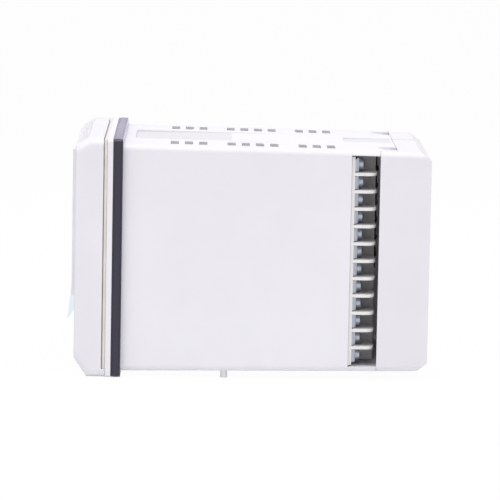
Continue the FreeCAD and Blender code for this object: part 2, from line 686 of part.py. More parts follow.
gasket = new_body("panel_gasket")
gasket_sketch = new_sketch(gasket, "XZ_Plane", "0 - Sizes.gasket_thickness")
add_frame_rectangle(gasket_sketch, "Sizes.bezel_width / 2", "Sizes.bezel_height / 2")
inner_width = total(half_width("0 - Sizes.gasket_thickness"), "Sizes.hole_gap")
inner_height = total(half_height("0 - Sizes.gasket_thickness"), "Sizes.hole_gap")
add_frame_rectangle(gasket_sketch, inner_width, inner_height)
extrude(gasket, "Pad", gasket_sketch, "Sizes.gasket_thickness", reverse=True)


# Terminal blocks

def terminal_block(label, hand, outside, inside, rise, count, screw_offset, reach):
    body = new_body(label)
    lip_outside = total(outside, reach)
    floor = "(Derived.block_floor + %s)" % rise
    end = "(Derived.barrier_end + %s)" % rise
    bottom = less(BLOCK_TOP, "Sizes.cell_pitch * %s" % count)
    base = new_sketch(body, "XZ_Plane", "Derived.partition_rear")
    add_rectangle(base, "%d * %s" % (hand, inside), bottom, "%d * %s" % (hand, outside), BLOCK_TOP)
    extrude(body, "Pad", base, less(floor, "Derived.partition_rear"), reverse=True)
    lip = new_sketch(body, "XZ_Plane", LIP_FRONT)
    add_rectangle(lip, "%d * %s" % (hand, inside), bottom, "%d * %s" % (hand, lip_outside), BLOCK_TOP)
    extrude(body, "Pad", lip, less(floor, LIP_FRONT), reverse=True)
    back = new_sketch(body, "XZ_Plane", floor)
    add_rectangle(back, "%d * %s" % (hand, inside), bottom,
                  "%d * (%s + Sizes.block_back_wall)" % (hand, inside), BLOCK_TOP)
    extrude(body, "Pad", back, less(end, floor), reverse=True)
    barrier = new_sketch(body, "XY_Plane", "%s + Sizes.cell_pitch - Sizes.barrier_thickness / 2" % bottom)
    add_rectangle(barrier, "%d * (%s + Sizes.block_back_wall / 2)" % (hand, inside), floor,
                  "%d * %s" % (hand, lip_outside), end)
    first = extrude(body, "Pad", barrier, "Sizes.barrier_thickness")
    doc.recompute()
    repeat(body, first, "Z_Axis", "Sizes.cell_pitch * (%s - 2)" % count, "%s - 1" % count)

    def is_barrier_corner(edge):
        return (abs(abs(middle_of(edge).x) - read(lip_outside)) < 0.01
                and abs(middle_of(edge).y - read(end)) < 0.01
                and span(edge, "Z") < read("Sizes.barrier_thickness * 1.5"))

    round_edges(body, "Sizes.barrier_round", is_barrier_corner)

    # Under each contact plate, one slot takes its pin and the screw's shank.
    slots = new_sketch(body, "XZ_Plane", floor)
    middle = "%s + Sizes.cell_pitch / 2" % bottom
    add_rectangle(slots, "%d * (%s - Sizes.contact_length / 2 - Sizes.hole_gap)" % (hand, screw_offset),
                  "%s - %s" % (middle, SHANK_HOLE),
                  "%d * (%s + %s)" % (hand, screw_offset, SHANK_HOLE), "%s + %s" % (middle, SHANK_HOLE))
    slotted = extrude(body, "Pocket", slots, less(floor, "Derived.partition_rear"), reverse=True)
    doc.recompute()
    repeat(body, slotted, "Z_Axis", "Sizes.cell_pitch * (%s - 1)" % count, count)


COLUMNS = (
    ("right", 1, "Derived.block_outside", "Derived.block_inside", "0", "Derived.cell_count",
     "Derived.screw_offset", "Sizes.lip_reach"),
    ("left", -1, "Derived.block_outside", "Derived.block_inside", "0", "Derived.cell_count",
     "Derived.screw_offset", "Sizes.lip_reach"),
    ("centre", 1, "Derived.centre_outside", "Derived.centre_inside", "Sizes.centre_rise",
     "Sizes.centre_cell_count", "Derived.centre_screw_offset", "0"),
)
for name, hand, outside, inside, rise, count, screw_offset, reach in COLUMNS:
    terminal_block("terminal_block_" + name, hand, outside, inside, rise, count, screw_offset, reach)


# Contacts, washers and screws of the terminals

SHANK_FLATS = int(read("Sizes.shank_flats"))


def one_contact(hand, floor, across):
    # A plate on the cell's floor, with a pin from its inner end to the rear board.
    thickness = read("Sizes.contact_thickness")
    width = read(less(CELL_CLEAR, "2 * Sizes.contact_gap"))
    length = read("Sizes.contact_length")
    reach = floor - read("Sizes.partition_front")
    plate = Part.makeBox(length, thickness, width, Vector(-length / 2, 0, -width / 2))
    hole = bar(read(SHANK_HOLE), thickness, SHANK_FLATS)
    pin_width = read("Sizes.pin_width")
    pin = Part.makeBox(thickness, reach, pin_width, Vector(-length / 2, -reach, -pin_width / 2))
    contact = plate.cut(hole).fuse(pin).removeSplitter()
    if hand < 0:
        contact = mirror_x(contact)
    return moved(contact, across, floor, 0)


def one_washer():
    side = read(WASHER_SIDE)
    thickness = read("Sizes.washer_thickness")
    plate = Part.makeBox(side, thickness, side, Vector(-side / 2, 0, -side / 2))
    return plate.cut(bar(read(SHANK_HOLE), thickness, SHANK_FLATS))


def one_screw(radius, height, shank, length):
    # The head stands behind the origin, and the shank runs forward from it.
    return bar(radius, height, int(read("Sizes.head_flats"))).fuse(bar(shank, -length, SHANK_FLATS))


terminal_screw = one_screw(read(HEAD_RADIUS), read("Sizes.screw_head_height"),
                           read("Sizes.screw_shank / 2"), read("Derived.screw_length"))
for name, hand, outside, inside, rise, count, screw_offset, reach in COLUMNS:
    pitch = read("Sizes.cell_pitch")
    floor = read("Derived.block_floor + %s" % rise)
    across = hand * read(screw_offset)
    top = read(BLOCK_TOP) - pitch / 2
    levels = [top - pitch * index for index in range(int(read(count)))]
    washer_seat = floor + read("Sizes.contact_thickness")
    head_seat = washer_seat + read("Sizes.washer_thickness")
    contact = one_contact(hand, floor, across)
    group("terminal_contacts_" + name, [moved(contact, 0, 0, level) for level in levels])
    group("terminal_washers_" + name, [moved(one_washer(), across, washer_seat, level) for level in levels])
    group("terminal_screws_" + name, [moved(terminal_screw, across, head_seat, level) for level in levels])


# Rear board with the sockets that the sliding boards plug into

rear_plate = block("rear_board_blank",
                   (minus("Derived.rear_board_across"), REAR_BOARD_FRONT, minus("Derived.rear_board_up")),
                   ("Derived.rear_board_across", "Sizes.partition_front", "Derived.rear_board_up"),
                   register=False)
screw_places = [(side, up) for side in (1, -1) for up in (1, -1)]
cut("rear_board", rear_plate, fuse_all("rear_board_holes", [
    drill(("%d * %s" % (side, REAR_SCREW_ACROSS), REAR_BOARD_FRONT, "%d * %s" % (up, REAR_SCREW_UP)),
          BOARD_SCREW_HOLE, "Sizes.board_thickness")
    for side, up in screw_places]))

small_screw = one_screw(read("Sizes.board_screw_head / 2"), read("Sizes.board_screw_rise"),
                        read("Sizes.board_screw / 2"), read("Derived.board_screw_length"))
backward_screw = small_screw.mirror(Vector(0, 0, 0), Vector(0, 1, 0))
group("rear_board_screws", [
    moved(backward_screw, side * read(REAR_SCREW_ACROSS), read(REAR_BOARD_FRONT), up * read(REAR_SCREW_UP))
    for side, up in screw_places])

for board_name, centre in BOARD_CENTRES.items():
    body = new_body(board_name.replace("board", "socket"))
    outline = new_sketch(body, "XZ_Plane", "Derived.socket_front")
    left = less(centre, "Derived.socket_width / 2")
    right = total(centre, "Derived.socket_width / 2")
    half = "Sizes.socket_height / 2"
    add_rectangle(outline, left, minus(half), right, half)
    extrude(body, "Pad", outline, "Sizes.socket_depth", reverse=True)
    slot = new_sketch(body, "XZ_Plane", "Derived.socket_front")
    play = total("Sizes.board_thickness / 2", "Sizes.board_gap")
    add_rectangle(slot, less(centre, play), minus(half), total(centre, play), half)
    extrude(body, "Pocket", slot, total("Sizes.board_plug", "Sizes.board_gap"))


# Front bezel, with its window seat, key holes and bosses

bezel = new_body("bezel")
profile = new_sketch(bezel, "YZ_Plane", "0")
half_bezel = "Sizes.bezel_height / 2"
upper_foot = less(half_bezel, "Sizes.upper_slope_height")
lower_foot = less(half_bezel, "Sizes.lower_slope_height")
slope_rear = total(FACE, "Sizes.bezel_slope_depth")
add_polygon(profile, [
    (BEZEL_REAR, minus(half_bezel)), (BEZEL_REAR, half_bezel), (slope_rear, half_bezel),
    (FACE, upper_foot), (FACE, minus(lower_foot)), (slope_rear, minus(half_bezel)),
])
extrude(bezel, "Pad", profile, "Sizes.bezel_width", middle=True)

# A ledge closes the seam between bezel and flange along the bottom.
SEAL_REAR = less(FLANGE_FRONT, "Sizes.seal_gap")
ledge = new_sketch(bezel, "XZ_Plane", BEZEL_REAR)
add_rectangle(ledge, "0 - Sizes.bezel_width / 2", "0 - Sizes.bezel_height / 2", "Sizes.bezel_width / 2",
              "Sizes.bezel_wall - Sizes.seal_gap - Sizes.bezel_height / 2")
extrude(bezel, "Pad", ledge, less(SEAL_REAR, BEZEL_REAR), reverse=True)


def is_long_bezel_corner(edge):
    at_side = abs(middle_of(edge).x) > read("Sizes.bezel_width / 2") - 0.01
    runs_back = span(edge, "Y") > read("Sizes.bezel_slope_depth / 2")
    return at_side and runs_back


def is_upright_front_edge(edge):
    return abs(middle_of(edge).y - read(FACE)) < 0.01 and span(edge, "Z") > read("Sizes.bezel_height / 2")


round_edges(bezel, "Sizes.bezel_corner", is_long_bezel_corner)
round_edges(bezel, "Sizes.bezel_edge", is_upright_front_edge)

inside_width = less("Sizes.bezel_width / 2", "Sizes.bezel_wall")
inside_height = less("Sizes.bezel_height / 2", "Sizes.bezel_wall")
deep_height = less(lower_foot, "Sizes.bezel_band_wall")
rear_cavity = new_sketch(bezel, "XZ_Plane", BEZEL_REAR)
add_frame_rectangle(rear_cavity, inside_width, inside_height)
rear_room = less("Derived.bezel_depth", "Sizes.bezel_slope_depth", "Sizes.bezel_band_wall")
extrude(bezel, "Pocket", rear_cavity, rear_room, reverse=True)
deep_cavity = new_sketch(bezel, "XZ_Plane", BEZEL_REAR)
add_frame_rectangle(deep_cavity, inside_width, deep_height)
extrude(bezel, "Pocket", deep_cavity, less("Derived.bezel_depth", "Sizes.bezel_face"), reverse=True)

window_frame = new_sketch(bezel, "XZ_Plane", FRAME_FACE)
add_rectangle(window_frame, minus("Derived.frame_half"), "Derived.frame_bottom",
              "Derived.frame_half", "Derived.frame_top")
extrude(bezel, "Pad", window_frame, "Sizes.frame_rise", reverse=True)
window_seat = new_sketch(bezel, "XZ_Plane", FRAME_FACE)
add_rectangle(window_seat, minus("Derived.window_half"), "Derived.window_bottom",
              "Derived.window_half", "Derived.window_top")
extrude(bezel, "Pocket", window_seat, "Sizes.window_thickness")
opening = new_sketch(bezel, "XZ_Plane", FRAME_FACE)
add_rectangle(opening, minus("Derived.display_half"), "Derived.window_bottom + Sizes.window_ledge",
              "Derived.display_half", less("Derived.window_top", "Sizes.window_ledge"))
extrude(bezel, "Pocket", opening, "Sizes.frame_rise + Sizes.bezel_face")

KEY_PITCH = "((Sizes.bezel_width - 2 * Sizes.key_margin) / Sizes.key_count)"
KEY_WIDTH = less(KEY_PITCH, "Sizes.key_spacing")


def key_middle(index):
    return "((%d - (Sizes.key_count - 1) / 2) * %s)" % (index, KEY_PITCH)


KEY_INDEXES = range(int(read("Sizes.key_count")))
key_holes = new_sketch(bezel, "XZ_Plane", FACE)
for index in KEY_INDEXES:
    half_hole = total("%s / 2" % KEY_WIDTH, "Sizes.key_gap")
    hole_rise = total("Sizes.key_height / 2", "Sizes.key_gap")
    add_rectangle(key_holes, less(key_middle(index), half_hole), less("Derived.key_level", hole_rise),
                  total(key_middle(index), half_hole), total("Derived.key_level", hole_rise))
extrude(bezel, "Pocket", key_holes, "Sizes.bezel_face")

boss_across = less(inside_width, "Sizes.boss_inset")
boss_up = less(deep_height, "Sizes.boss_inset")
bosses = new_sketch(bezel, "XZ_Plane", BEZEL_INSIDE)
for side, up in screw_places:
    middle_x = "%d * %s" % (side, boss_across)
    middle_z = "%d * %s" % (up, boss_up)
    half = "Sizes.boss_side / 2"
    add_rectangle(bosses, less(middle_x, half), less(middle_z, half),
                  total(middle_x, half), total(middle_z, half))
    add_small_round(bosses, middle_x, middle_z, BOARD_SCREW_HOLE)
extrude(bezel, "Pad", bosses, "Derived.front_board_depth", reverse=True)

# Ridges on the upper band, where a finger pulls the unit out.
ridge = new_sketch(bezel, "YZ_Plane", minus("Derived.grip_span / 2"))
ridge_points = []
for share, rise in (("start", "0 - Sizes.grip_root"), ("end", "0 - Sizes.grip_root"),
                    ("end", "Sizes.grip_rise"), ("start", "Sizes.grip_rise")):
    along = total(FACE, "Sizes.bezel_slope_depth * Sizes.grip_%s" % share)
    up = total(upper_foot, "Sizes.upper_slope_height * Sizes.grip_%s" % share, rise)
    ridge_points.append((along, up))
add_polygon(ridge, ridge_points)
first_ridge = extrude(bezel, "Pad", ridge, "Sizes.grip_width")
doc.recompute()
repeat(bezel, first_ridge, "X_Axis", "Derived.grip_span - Sizes.grip_width",
       "floor(Derived.grip_span / Sizes.grip_pitch)")


# Window and film

window = new_body("display_window")
pane = new_sketch(window, "XZ_Plane", FRAME_FACE)
add_rectangle(pane, "Sizes.window_gap - Derived.window_half", "Derived.window_bottom + Sizes.window_gap",
              less("Derived.window_half", "Sizes.window_gap"), less("Derived.window_top", "Sizes.window_gap"))
extrude(window, "Pad", pane, "Sizes.window_thickness", reverse=True)


def film_shape():
    # The film lies flat on the frame and window at the top, and has lifted towards its lower edge.
    face = read(FRAME_FACE)
    top = read("Derived.film_top")
    bottom = read("Derived.film_bottom")
    lift = read("Sizes.film_lift")
    thickness = read("Sizes.film_thickness")
    bend_start = top - read("Sizes.film_flat")
    drop = bend_start - bottom
    radius = (drop * drop + lift * lift) / (2 * lift)

    def bend_point(offset, share):
        down = share * drop
        sag = radius - math.sqrt(radius * radius - down * down)
        return Vector(0, face - offset - sag, bend_start - down)

    edges = [
        Part.LineSegment(Vector(0, face, top), bend_point(0, 0)).toShape(),
        Part.Arc(bend_point(0, 0), bend_point(0, 0.5), bend_point(0, 1)).toShape(),
        Part.LineSegment(bend_point(0, 1), bend_point(thickness, 1)).toShape(),
        Part.Arc(bend_point(thickness, 1), bend_point(thickness, 0.5), bend_point(thickness, 0)).toShape(),
        Part.LineSegment(bend_point(thickness, 0), Vector(0, face - thickness, top)).toShape(),
        Part.LineSegment(Vector(0, face - thickness, top), Vector(0, face, top)).toShape(),
    ]
    outline = Part.Face(Part.Wire(edges))
    width = 2 * read("Derived.film_half")
    return moved(outline.extrude(Vector(width, 0, 0)), -width / 2, 0, 0)


film = doc.addObject("Part::Feature", "protective_film")
film.Shape = film_shape()
node(film, "protective_film")


# Display module, front board and the switches under the keys

FRONT_BOARD = total(BEZEL_INSIDE, "Derived.front_board_depth")
FRONT_BOARD_REAR = total(FRONT_BOARD, "Sizes.board_thickness")
block("display_module",
      (minus("Derived.display_half"), total(BEZEL_INSIDE, "Sizes.display_gap"), "Derived.display_bottom"),
      ("Derived.display_half", FRONT_BOARD, "Derived.display_top"))

front_across = less(inside_width, "Sizes.front_board_gap")
front_up = less(deep_height, "Sizes.front_board_gap")
front_plate = block("front_board_blank", (minus(front_across), FRONT_BOARD, minus(front_up)),
                    (front_across, FRONT_BOARD_REAR, front_up), register=False)
cut("front_board", front_plate, fuse_all("front_board_holes", [
    drill(("%d * %s" % (side, boss_across), FRONT_BOARD, "%d * %s" % (up, boss_up)),
          BOARD_SCREW_HOLE, "Sizes.board_thickness")
    for side, up in screw_places]))
group("front_board_screws", [
    moved(small_screw, side * read(boss_across), read(FRONT_BOARD_REAR), up * read(boss_up))
    for side, up in screw_places])

# A pressed key's post stops just short of its switch.
KEY_FACE = total(FACE, "Sizes.key_recess")
KEY_RIM_FRONT = total(BEZEL_INSIDE, "Sizes.switch_play")
KEY_RIM_REAR = total(KEY_RIM_FRONT, "Sizes.key_flange_thickness")
SWITCH_FRONT = less(FRONT_BOARD, "2 * Sizes.switch_base")
POST_END = less(SWITCH_FRONT, "Sizes.key_travel", "Sizes.switch_play")


def one_switch():
    side = read("Sizes.switch_side")
    base = read("Sizes.switch_base")
    body = Part.makeBox(side, base, side, Vector(-side / 2, -base, -side / 2))
    return body.fuse(moved(bar(side / 4, -base, SHANK_FLATS), 0, -base, 0))


group("key_switches", [
    moved(one_switch(), read(key_middle(index)), read(FRONT_BOARD), read("Derived.key_level"))
    for index in KEY_INDEXES])

for index in KEY_INDEXES:
    key = new_body("key_%d" % (index + 1))
    middle = key_middle(index)
    cap = new_sketch(key, "XZ_Plane", KEY_FACE)
    add_rectangle(cap, "%s - %s / 2" % (middle, KEY_WIDTH), "Derived.key_level - Sizes.key_height / 2",
                  "%s + %s / 2" % (middle, KEY_WIDTH), "Derived.key_level + Sizes.key_height / 2")
    extrude(key, "Pad", cap, less(KEY_RIM_REAR, KEY_FACE), reverse=True)
    round_edges(key, "Sizes.key_corner", lambda edge: span(edge, "Y") > read("Sizes.bezel_face / 2"))
    rim = new_sketch(key, "XZ_Plane", KEY_RIM_FRONT)
    add_rectangle(rim, "%s - %s / 2 - Sizes.key_flange" % (middle, KEY_WIDTH),
                  "Derived.key_level - Sizes.key_height / 2 - Sizes.key_flange",
                  "%s + %s / 2 + Sizes.key_flange" % (middle, KEY_WIDTH),
                  "Derived.key_level + Sizes.key_height / 2 + Sizes.key_flange")
    extrude(key, "Pad", rim, "Sizes.key_flange_thickness", reverse=True)
    post = new_sketch(key, "XZ_Plane", KEY_RIM_REAR)
    add_rectangle(post, "%s - Sizes.key_post / 2" % middle, "Derived.key_level - Sizes.key_post / 2",
                  "%s + Sizes.key_post / 2" % middle, "Derived.key_level + Sizes.key_post / 2")
    extrude(key, "Pad", post, less(POST_END, KEY_RIM_REAR), reverse=True)


# Carrier that closes the bezel's rear and guides the unit into the case, and its seal

carrier = new_body("front_carrier")
carrier_front = less(BEZEL_REAR, "Sizes.carrier_thickness")
plate_sketch = new_sketch(carrier, "XZ_Plane", carrier_front)
add_frame_rectangle(plate_sketch, less(inside_width, "Sizes.carrier_gap"),
                    less(inside_height, "Sizes.carrier_gap"))
add_frame_rectangle(plate_sketch, "Derived.opening_across", "Derived.opening_up")
extrude(carrier, "Pad", plate_sketch, "Sizes.carrier_thickness", reverse=True)
sleeve_sketch = new_sketch(carrier, "XZ_Plane", carrier_front)
add_frame_rectangle(sleeve_sketch, "Derived.sleeve_across", "Derived.sleeve_up")
add_frame_rectangle(sleeve_sketch, "Derived.opening_across", "Derived.opening_up")
extrude(carrier, "Pad", sleeve_sketch, less("Sizes.carrier_sleeve_end", carrier_front), reverse=True)

seal = new_body("bezel_seal")
seal_bottom = minus(inside_height)
seal_steps = (("Sizes.seal_inset", BEZEL_REAR), ("Sizes.seal_inset / 4", less(SEAL_REAR, "Sizes.seal_lip")))
for inset, start in seal_steps:
    ring = new_sketch(seal, "XZ_Plane", start)
    add_rectangle(ring, "%s - Sizes.bezel_width / 2" % inset, seal_bottom,
                  less("Sizes.bezel_width / 2", inset), less("Sizes.bezel_height / 2", inset))
    add_rectangle(ring, minus(inside_width), total(seal_bottom, "Sizes.seal_strip"),
                  inside_width, inside_height)
    extrude(seal, "Pad", ring, less(SEAL_REAR, start), reverse=True)


# Long boards with their headers and parts

half_board = "Derived.board_height / 2"
for name, centre in BOARD_CENTRES.items():
    half = "Sizes.board_thickness / 2"
    block(name, (less(centre, half), total(FRONT_BOARD_REAR, "Sizes.board_front_gap"), minus(half_board)),
          (total(centre, half), "Derived.board_rear", half_board))

MAIN_FACE = "(Derived.board_offset - Sizes.board_thickness / 2)"
POWER_FACE = minus(MAIN_FACE)
OPTION_FACE = "(Sizes.board_thickness / 2)"


def on_board(label, face, hand, rise, depth, up, length, width):
    # A part that stands on a board's face and points along +X or -X.
    near, far = (face, total(face, rise)) if hand > 0 else (less(face, rise), face)
    return block(label, (near, depth, up), (far, total(depth, length), total(up, width)))


for label, face, hand in (("main_header", MAIN_FACE, -1), ("power_header", POWER_FACE, 1),
                          ("option_header", OPTION_FACE, 1)):
    on_board(label, face, hand, "Sizes.header_depth", FRONT_BOARD_REAR, "0 - Sizes.header_height / 2",
             "Sizes.header_length", "Sizes.header_height")

on_board("processor", MAIN_FACE, -1, "Sizes.chip_rise", "Sizes.chip_start", "0 - Sizes.chip_side / 2",
         "Sizes.chip_side", "Sizes.chip_side")
on_board("converter", MAIN_FACE, -1, "Sizes.converter_rise", "Sizes.chip_start + Sizes.converter_spacing",
         "0 - Sizes.converter_height / 2", "Sizes.converter_length", "Sizes.converter_height")
on_board("relay_upper", MAIN_FACE, -1, "Sizes.relay_rise", "Derived.relay_start", "Sizes.relay_level",
         "Sizes.relay_length", "Sizes.relay_width")
on_board("relay_lower", MAIN_FACE, -1, "Sizes.relay_rise", "Derived.relay_start",
         "0 - Sizes.relay_level - Sizes.relay_width", "Sizes.relay_length", "Sizes.relay_width")
on_board("isolators", OPTION_FACE, 1, "Sizes.isolator_rise", "Sizes.isolator_start",
         "0 - Sizes.isolator_height / 2", "Sizes.isolator_length", "Sizes.isolator_height")

# Transformer: a closed core, held off the board by the winding on its middle leg.

CORE_WINDOW = "((Sizes.core_length - 4 * Sizes.core_leg) / 2)"
WINDING = less(CORE_WINDOW, "2 * Sizes.winding_gap")
CORE_BACK = total(POWER_FACE, WINDING, "Sizes.winding_gap")
CORE_FRONT = total(CORE_BACK, "Sizes.core_depth")
CORE_END = "(Sizes.core_start + Sizes.core_length)"
CORE_TOP = "(Derived.core_bottom + Sizes.core_height)"
leg_start = total("Sizes.core_start", "Sizes.core_leg", CORE_WINDOW)
leg_end = less(CORE_END, "Sizes.core_leg", CORE_WINDOW)
window_bottom = total("Derived.core_bottom", "Sizes.core_leg")
window_top = less(CORE_TOP, "Sizes.core_leg")
core_blank = block("core_blank", (CORE_BACK, "Sizes.core_start", "Derived.core_bottom"),
                   (CORE_FRONT, CORE_END, CORE_TOP), register=False)
core_windows = doc.addObject("Part::MultiFuse", "core_windows")
core_windows.Shapes = [
    block("core_window", (CORE_BACK, near, window_bottom), (CORE_FRONT, far, window_top), register=False)
    for near, far in ((total("Sizes.core_start", "Sizes.core_leg"), leg_start),
                      (leg_end, less(CORE_END, "Sizes.core_leg")))]
cut("transformer_core", core_blank, core_windows)
hole_front = less(leg_start, "Sizes.winding_gap")
hole_rear = total(leg_end, "Sizes.winding_gap")
hole_outside = total(CORE_FRONT, "Sizes.winding_gap")
winding_blank = block("winding_blank",
                      (POWER_FACE, less(hole_front, WINDING), total(window_bottom, "Sizes.winding_gap")),
                      (total(hole_outside, WINDING), total(hole_rear, WINDING),
                       less(window_top, "Sizes.winding_gap")), register=False)
winding_hole = block("winding_hole", (less(CORE_BACK, "Sizes.winding_gap"), hole_front, "Derived.core_bottom"),
                     (hole_outside, hole_rear, CORE_TOP), register=False)
cut("transformer_winding", winding_blank, winding_hole)

rod("mains_capacitor", (POWER_FACE, "Sizes.core_start", "Derived.capacitor_level"), "x",
    "Sizes.capacitor_diameter / 2", "Sizes.capacitor_length")
output_start = "Sizes.core_start + Sizes.output_spacing"
rod("output_capacitor", (POWER_FACE, output_start, "Derived.capacitor_level"), "x",
    "Sizes.output_diameter / 2", "Sizes.output_length")
fuse_start = (total(POWER_FACE, "Sizes.fuse_diameter / 2"), "Sizes.core_start", "Derived.fuse_level")
rod("mains_fuse", fuse_start, "y", "Sizes.fuse_diameter / 2", "Sizes.fuse_length")


# Terminal cover

cover = new_body("terminal_cover")

drafted(cover, "Additive", "Derived.cover_start", "Derived.cover_end", 0)
half_cover = read("Derived.cover_end - Derived.cover_start") / 2
round_edges(cover, "Sizes.case_corner", lambda edge: span(edge, "Y") > half_cover)

rear_height = half_height("Derived.cover_end")
bevels = new_sketch(cover, "YZ_Plane", "0")
for up in (1, -1):
    add_polygon(bevels, [
        ("Derived.cover_end", "%d * %s" % (up, less(rear_height, "Sizes.cover_slope_height"))),
        ("Derived.cover_end", "%d * Derived.case_height" % up),
        ("Derived.cover_end - Sizes.cover_slope_depth", "%d * Derived.case_height" % up),
        ("Derived.cover_end - Sizes.cover_slope_depth", "%d * %s" % (up, rear_height)),
    ])
extrude(cover, "Pocket", bevels, FAR, middle=True)

hollow_height = less(rear_height, "Sizes.cover_wall")
hollow_end = "(Derived.cover_end - Sizes.cover_wall)"
hollow = new_sketch(cover, "YZ_Plane", "0")
add_polygon(hollow, [
    ("Derived.cover_start", minus(hollow_height)),
    (less(hollow_end, "Sizes.cover_slope_depth"), minus(hollow_height)),
    (hollow_end, minus(less(hollow_height, "Sizes.cover_slope_height"))),
    (hollow_end, less(hollow_height, "Sizes.cover_slope_height")),
    (less(hollow_end, "Sizes.cover_slope_depth"), hollow_height),
    ("Derived.cover_start", hollow_height),
])
hollow_width = "2 * %s" % less(half_width("Derived.cover_end"), "Sizes.cover_wall")
extrude(cover, "Pocket", hollow, hollow_width, middle=True)

# The top and bottom begin behind the case's tongues, and only the side walls reach further forward.
front_notch = new_sketch(cover, "XY_Plane", "0")
notch_half = less(half_width("Derived.cover_start"), "Sizes.cover_wall")
add_rectangle(front_notch, minus(notch_half), "Derived.case_side_end", notch_half, COVER_TOP_START)
extrude(cover, "Pocket", front_notch, FAR, middle=True)

add_top_recesses(cover, "Sizes.recess_width", "Derived.case_side_end", "Derived.recess_end",
                 "Derived.recess_floor")

# Tabs that slip under the case's tongues.
tab_top = less(half_height("Derived.case_tongue_end"), WALL, "Sizes.cover_gap")
tab_bottom = less(tab_top, "Sizes.tab_thickness")
tab_root = total(COVER_TOP_START, "Sizes.cover_wall")
for side in (1, -1):
    tabs = new_sketch(cover, "YZ_Plane", "%d * Sizes.tab_offset" % side)
    for up in (1, -1):
        top = "%d * %s" % (up, tab_top)
        bottom = "%d * %s" % (up, tab_bottom)
        rooted = "%d * (%s + Sizes.cover_wall / 2 + Sizes.cover_gap)" % (up, tab_top)
        add_polygon(tabs, [
            ("Derived.case_tongue_end - Sizes.tab_reach", bottom), (tab_root, bottom), (tab_root, rooted),
            (COVER_TOP_START, rooted), (COVER_TOP_START, top),
            ("Derived.case_tongue_end - Sizes.tab_reach", top),
        ])
    extrude(cover, "Pad", tabs, "Sizes.tab_width", middle=True)


# Check every object, then write each piece

doc.recompute()
for thing in doc.Objects:
    if "Invalid" in thing.State or "Error" in thing.State:
        raise RuntimeError("%s failed: %s" % (thing.Label, thing.State))
os.makedirs("parts", exist_ok=True)
for thing in nodes:
    if thing.Shape.isNull() or not thing.Shape.isValid() or not thing.Shape.Solids:
        raise RuntimeError("%s has no valid solid" % thing.Label)
for thing in nodes:
    thing.Shape.exportStep(os.path.join("parts", thing.Label + ".step"))
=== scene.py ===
import json
import math

import bmesh
import bpy
from mathutils import Matrix, Vector


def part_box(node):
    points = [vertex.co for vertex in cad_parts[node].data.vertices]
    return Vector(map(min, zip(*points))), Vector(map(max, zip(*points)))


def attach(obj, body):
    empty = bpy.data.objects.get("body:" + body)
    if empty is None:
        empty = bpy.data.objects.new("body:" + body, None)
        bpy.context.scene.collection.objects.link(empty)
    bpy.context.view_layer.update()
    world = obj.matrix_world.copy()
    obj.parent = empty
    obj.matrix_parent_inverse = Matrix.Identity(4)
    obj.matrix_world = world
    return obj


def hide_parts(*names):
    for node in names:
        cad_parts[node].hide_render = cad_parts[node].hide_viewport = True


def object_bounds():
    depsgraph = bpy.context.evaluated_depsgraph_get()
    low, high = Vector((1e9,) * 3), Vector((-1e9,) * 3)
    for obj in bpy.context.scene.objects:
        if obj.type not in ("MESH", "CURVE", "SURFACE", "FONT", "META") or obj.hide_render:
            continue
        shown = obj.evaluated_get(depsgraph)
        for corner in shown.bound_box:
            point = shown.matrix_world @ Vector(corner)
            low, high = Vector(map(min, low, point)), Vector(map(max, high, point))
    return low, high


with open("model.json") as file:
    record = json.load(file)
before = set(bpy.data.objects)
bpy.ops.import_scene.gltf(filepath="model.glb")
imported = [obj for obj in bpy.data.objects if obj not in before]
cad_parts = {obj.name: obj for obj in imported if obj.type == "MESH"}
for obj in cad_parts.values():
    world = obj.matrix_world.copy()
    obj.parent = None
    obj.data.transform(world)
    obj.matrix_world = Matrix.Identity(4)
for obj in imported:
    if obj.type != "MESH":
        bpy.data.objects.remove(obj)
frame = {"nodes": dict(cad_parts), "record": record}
cad_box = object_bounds()
MM = 0.001
WELD_DISTANCE = 0.001 * MM
BEVEL_ANGLE = math.radians(40)
SMOOTH_ANGLE = math.radians(35)


# Materials

def start_material(name):
    made = bpy.data.materials.new(name)
    made.use_nodes = True
    tree = made.node_tree
    tree.nodes.clear()
    shader = tree.nodes.new("ShaderNodeBsdfPrincipled")
    output = tree.nodes.new("ShaderNodeOutputMaterial")
    tree.links.new(shader.outputs["BSDF"], output.inputs["Surface"])
    return made, tree, shader


def object_place(tree, stretch=(1, 1, 1)):
    place = tree.nodes.new("ShaderNodeTexCoord")
    mapping = tree.nodes.new("ShaderNodeMapping")
    mapping.inputs["Scale"].default_value = stretch
    tree.links.new(place.outputs["Object"], mapping.inputs["Vector"])
    return mapping.outputs["Vector"]


def noise(tree, size, detail=2.0):
    # A cloud of noise whose features are about as large as size, in metres.
    texture = tree.nodes.new("ShaderNodeTexNoise")
    texture.inputs["Scale"].default_value = 1 / size
    texture.inputs["Detail"].default_value = detail
    tree.links.new(object_place(tree), texture.inputs["Vector"])
    return texture.outputs["Fac"]


def ramp(tree, field, first, last, start=0.3, end=0.7):
    made = tree.nodes.new("ShaderNodeValToRGB")
    low, high = made.color_ramp.elements
    low.position = start
    high.position = end
    low.color = (*first, 1)
    high.color = (*last, 1)
    tree.links.new(field, made.inputs["Fac"])
    return made.outputs["Color"]


def spread(tree, field, low, high):
    made = tree.nodes.new("ShaderNodeMapRange")
    made.inputs["To Min"].default_value = low
    made.inputs["To Max"].default_value = high
    tree.links.new(field, made.inputs["Value"])
    return made.outputs["Result"]


def roughen(tree, shader, field, height, strength):
    made = tree.nodes.new("ShaderNodeBump")
    made.inputs["Distance"].default_value = height
    made.inputs["Strength"].default_value = strength
    tree.links.new(field, made.inputs["Height"])
    tree.links.new(made.outputs["Normal"], shader.inputs["Normal"])


def shade(colour, factor):
    return tuple(channel * factor for channel in colour)


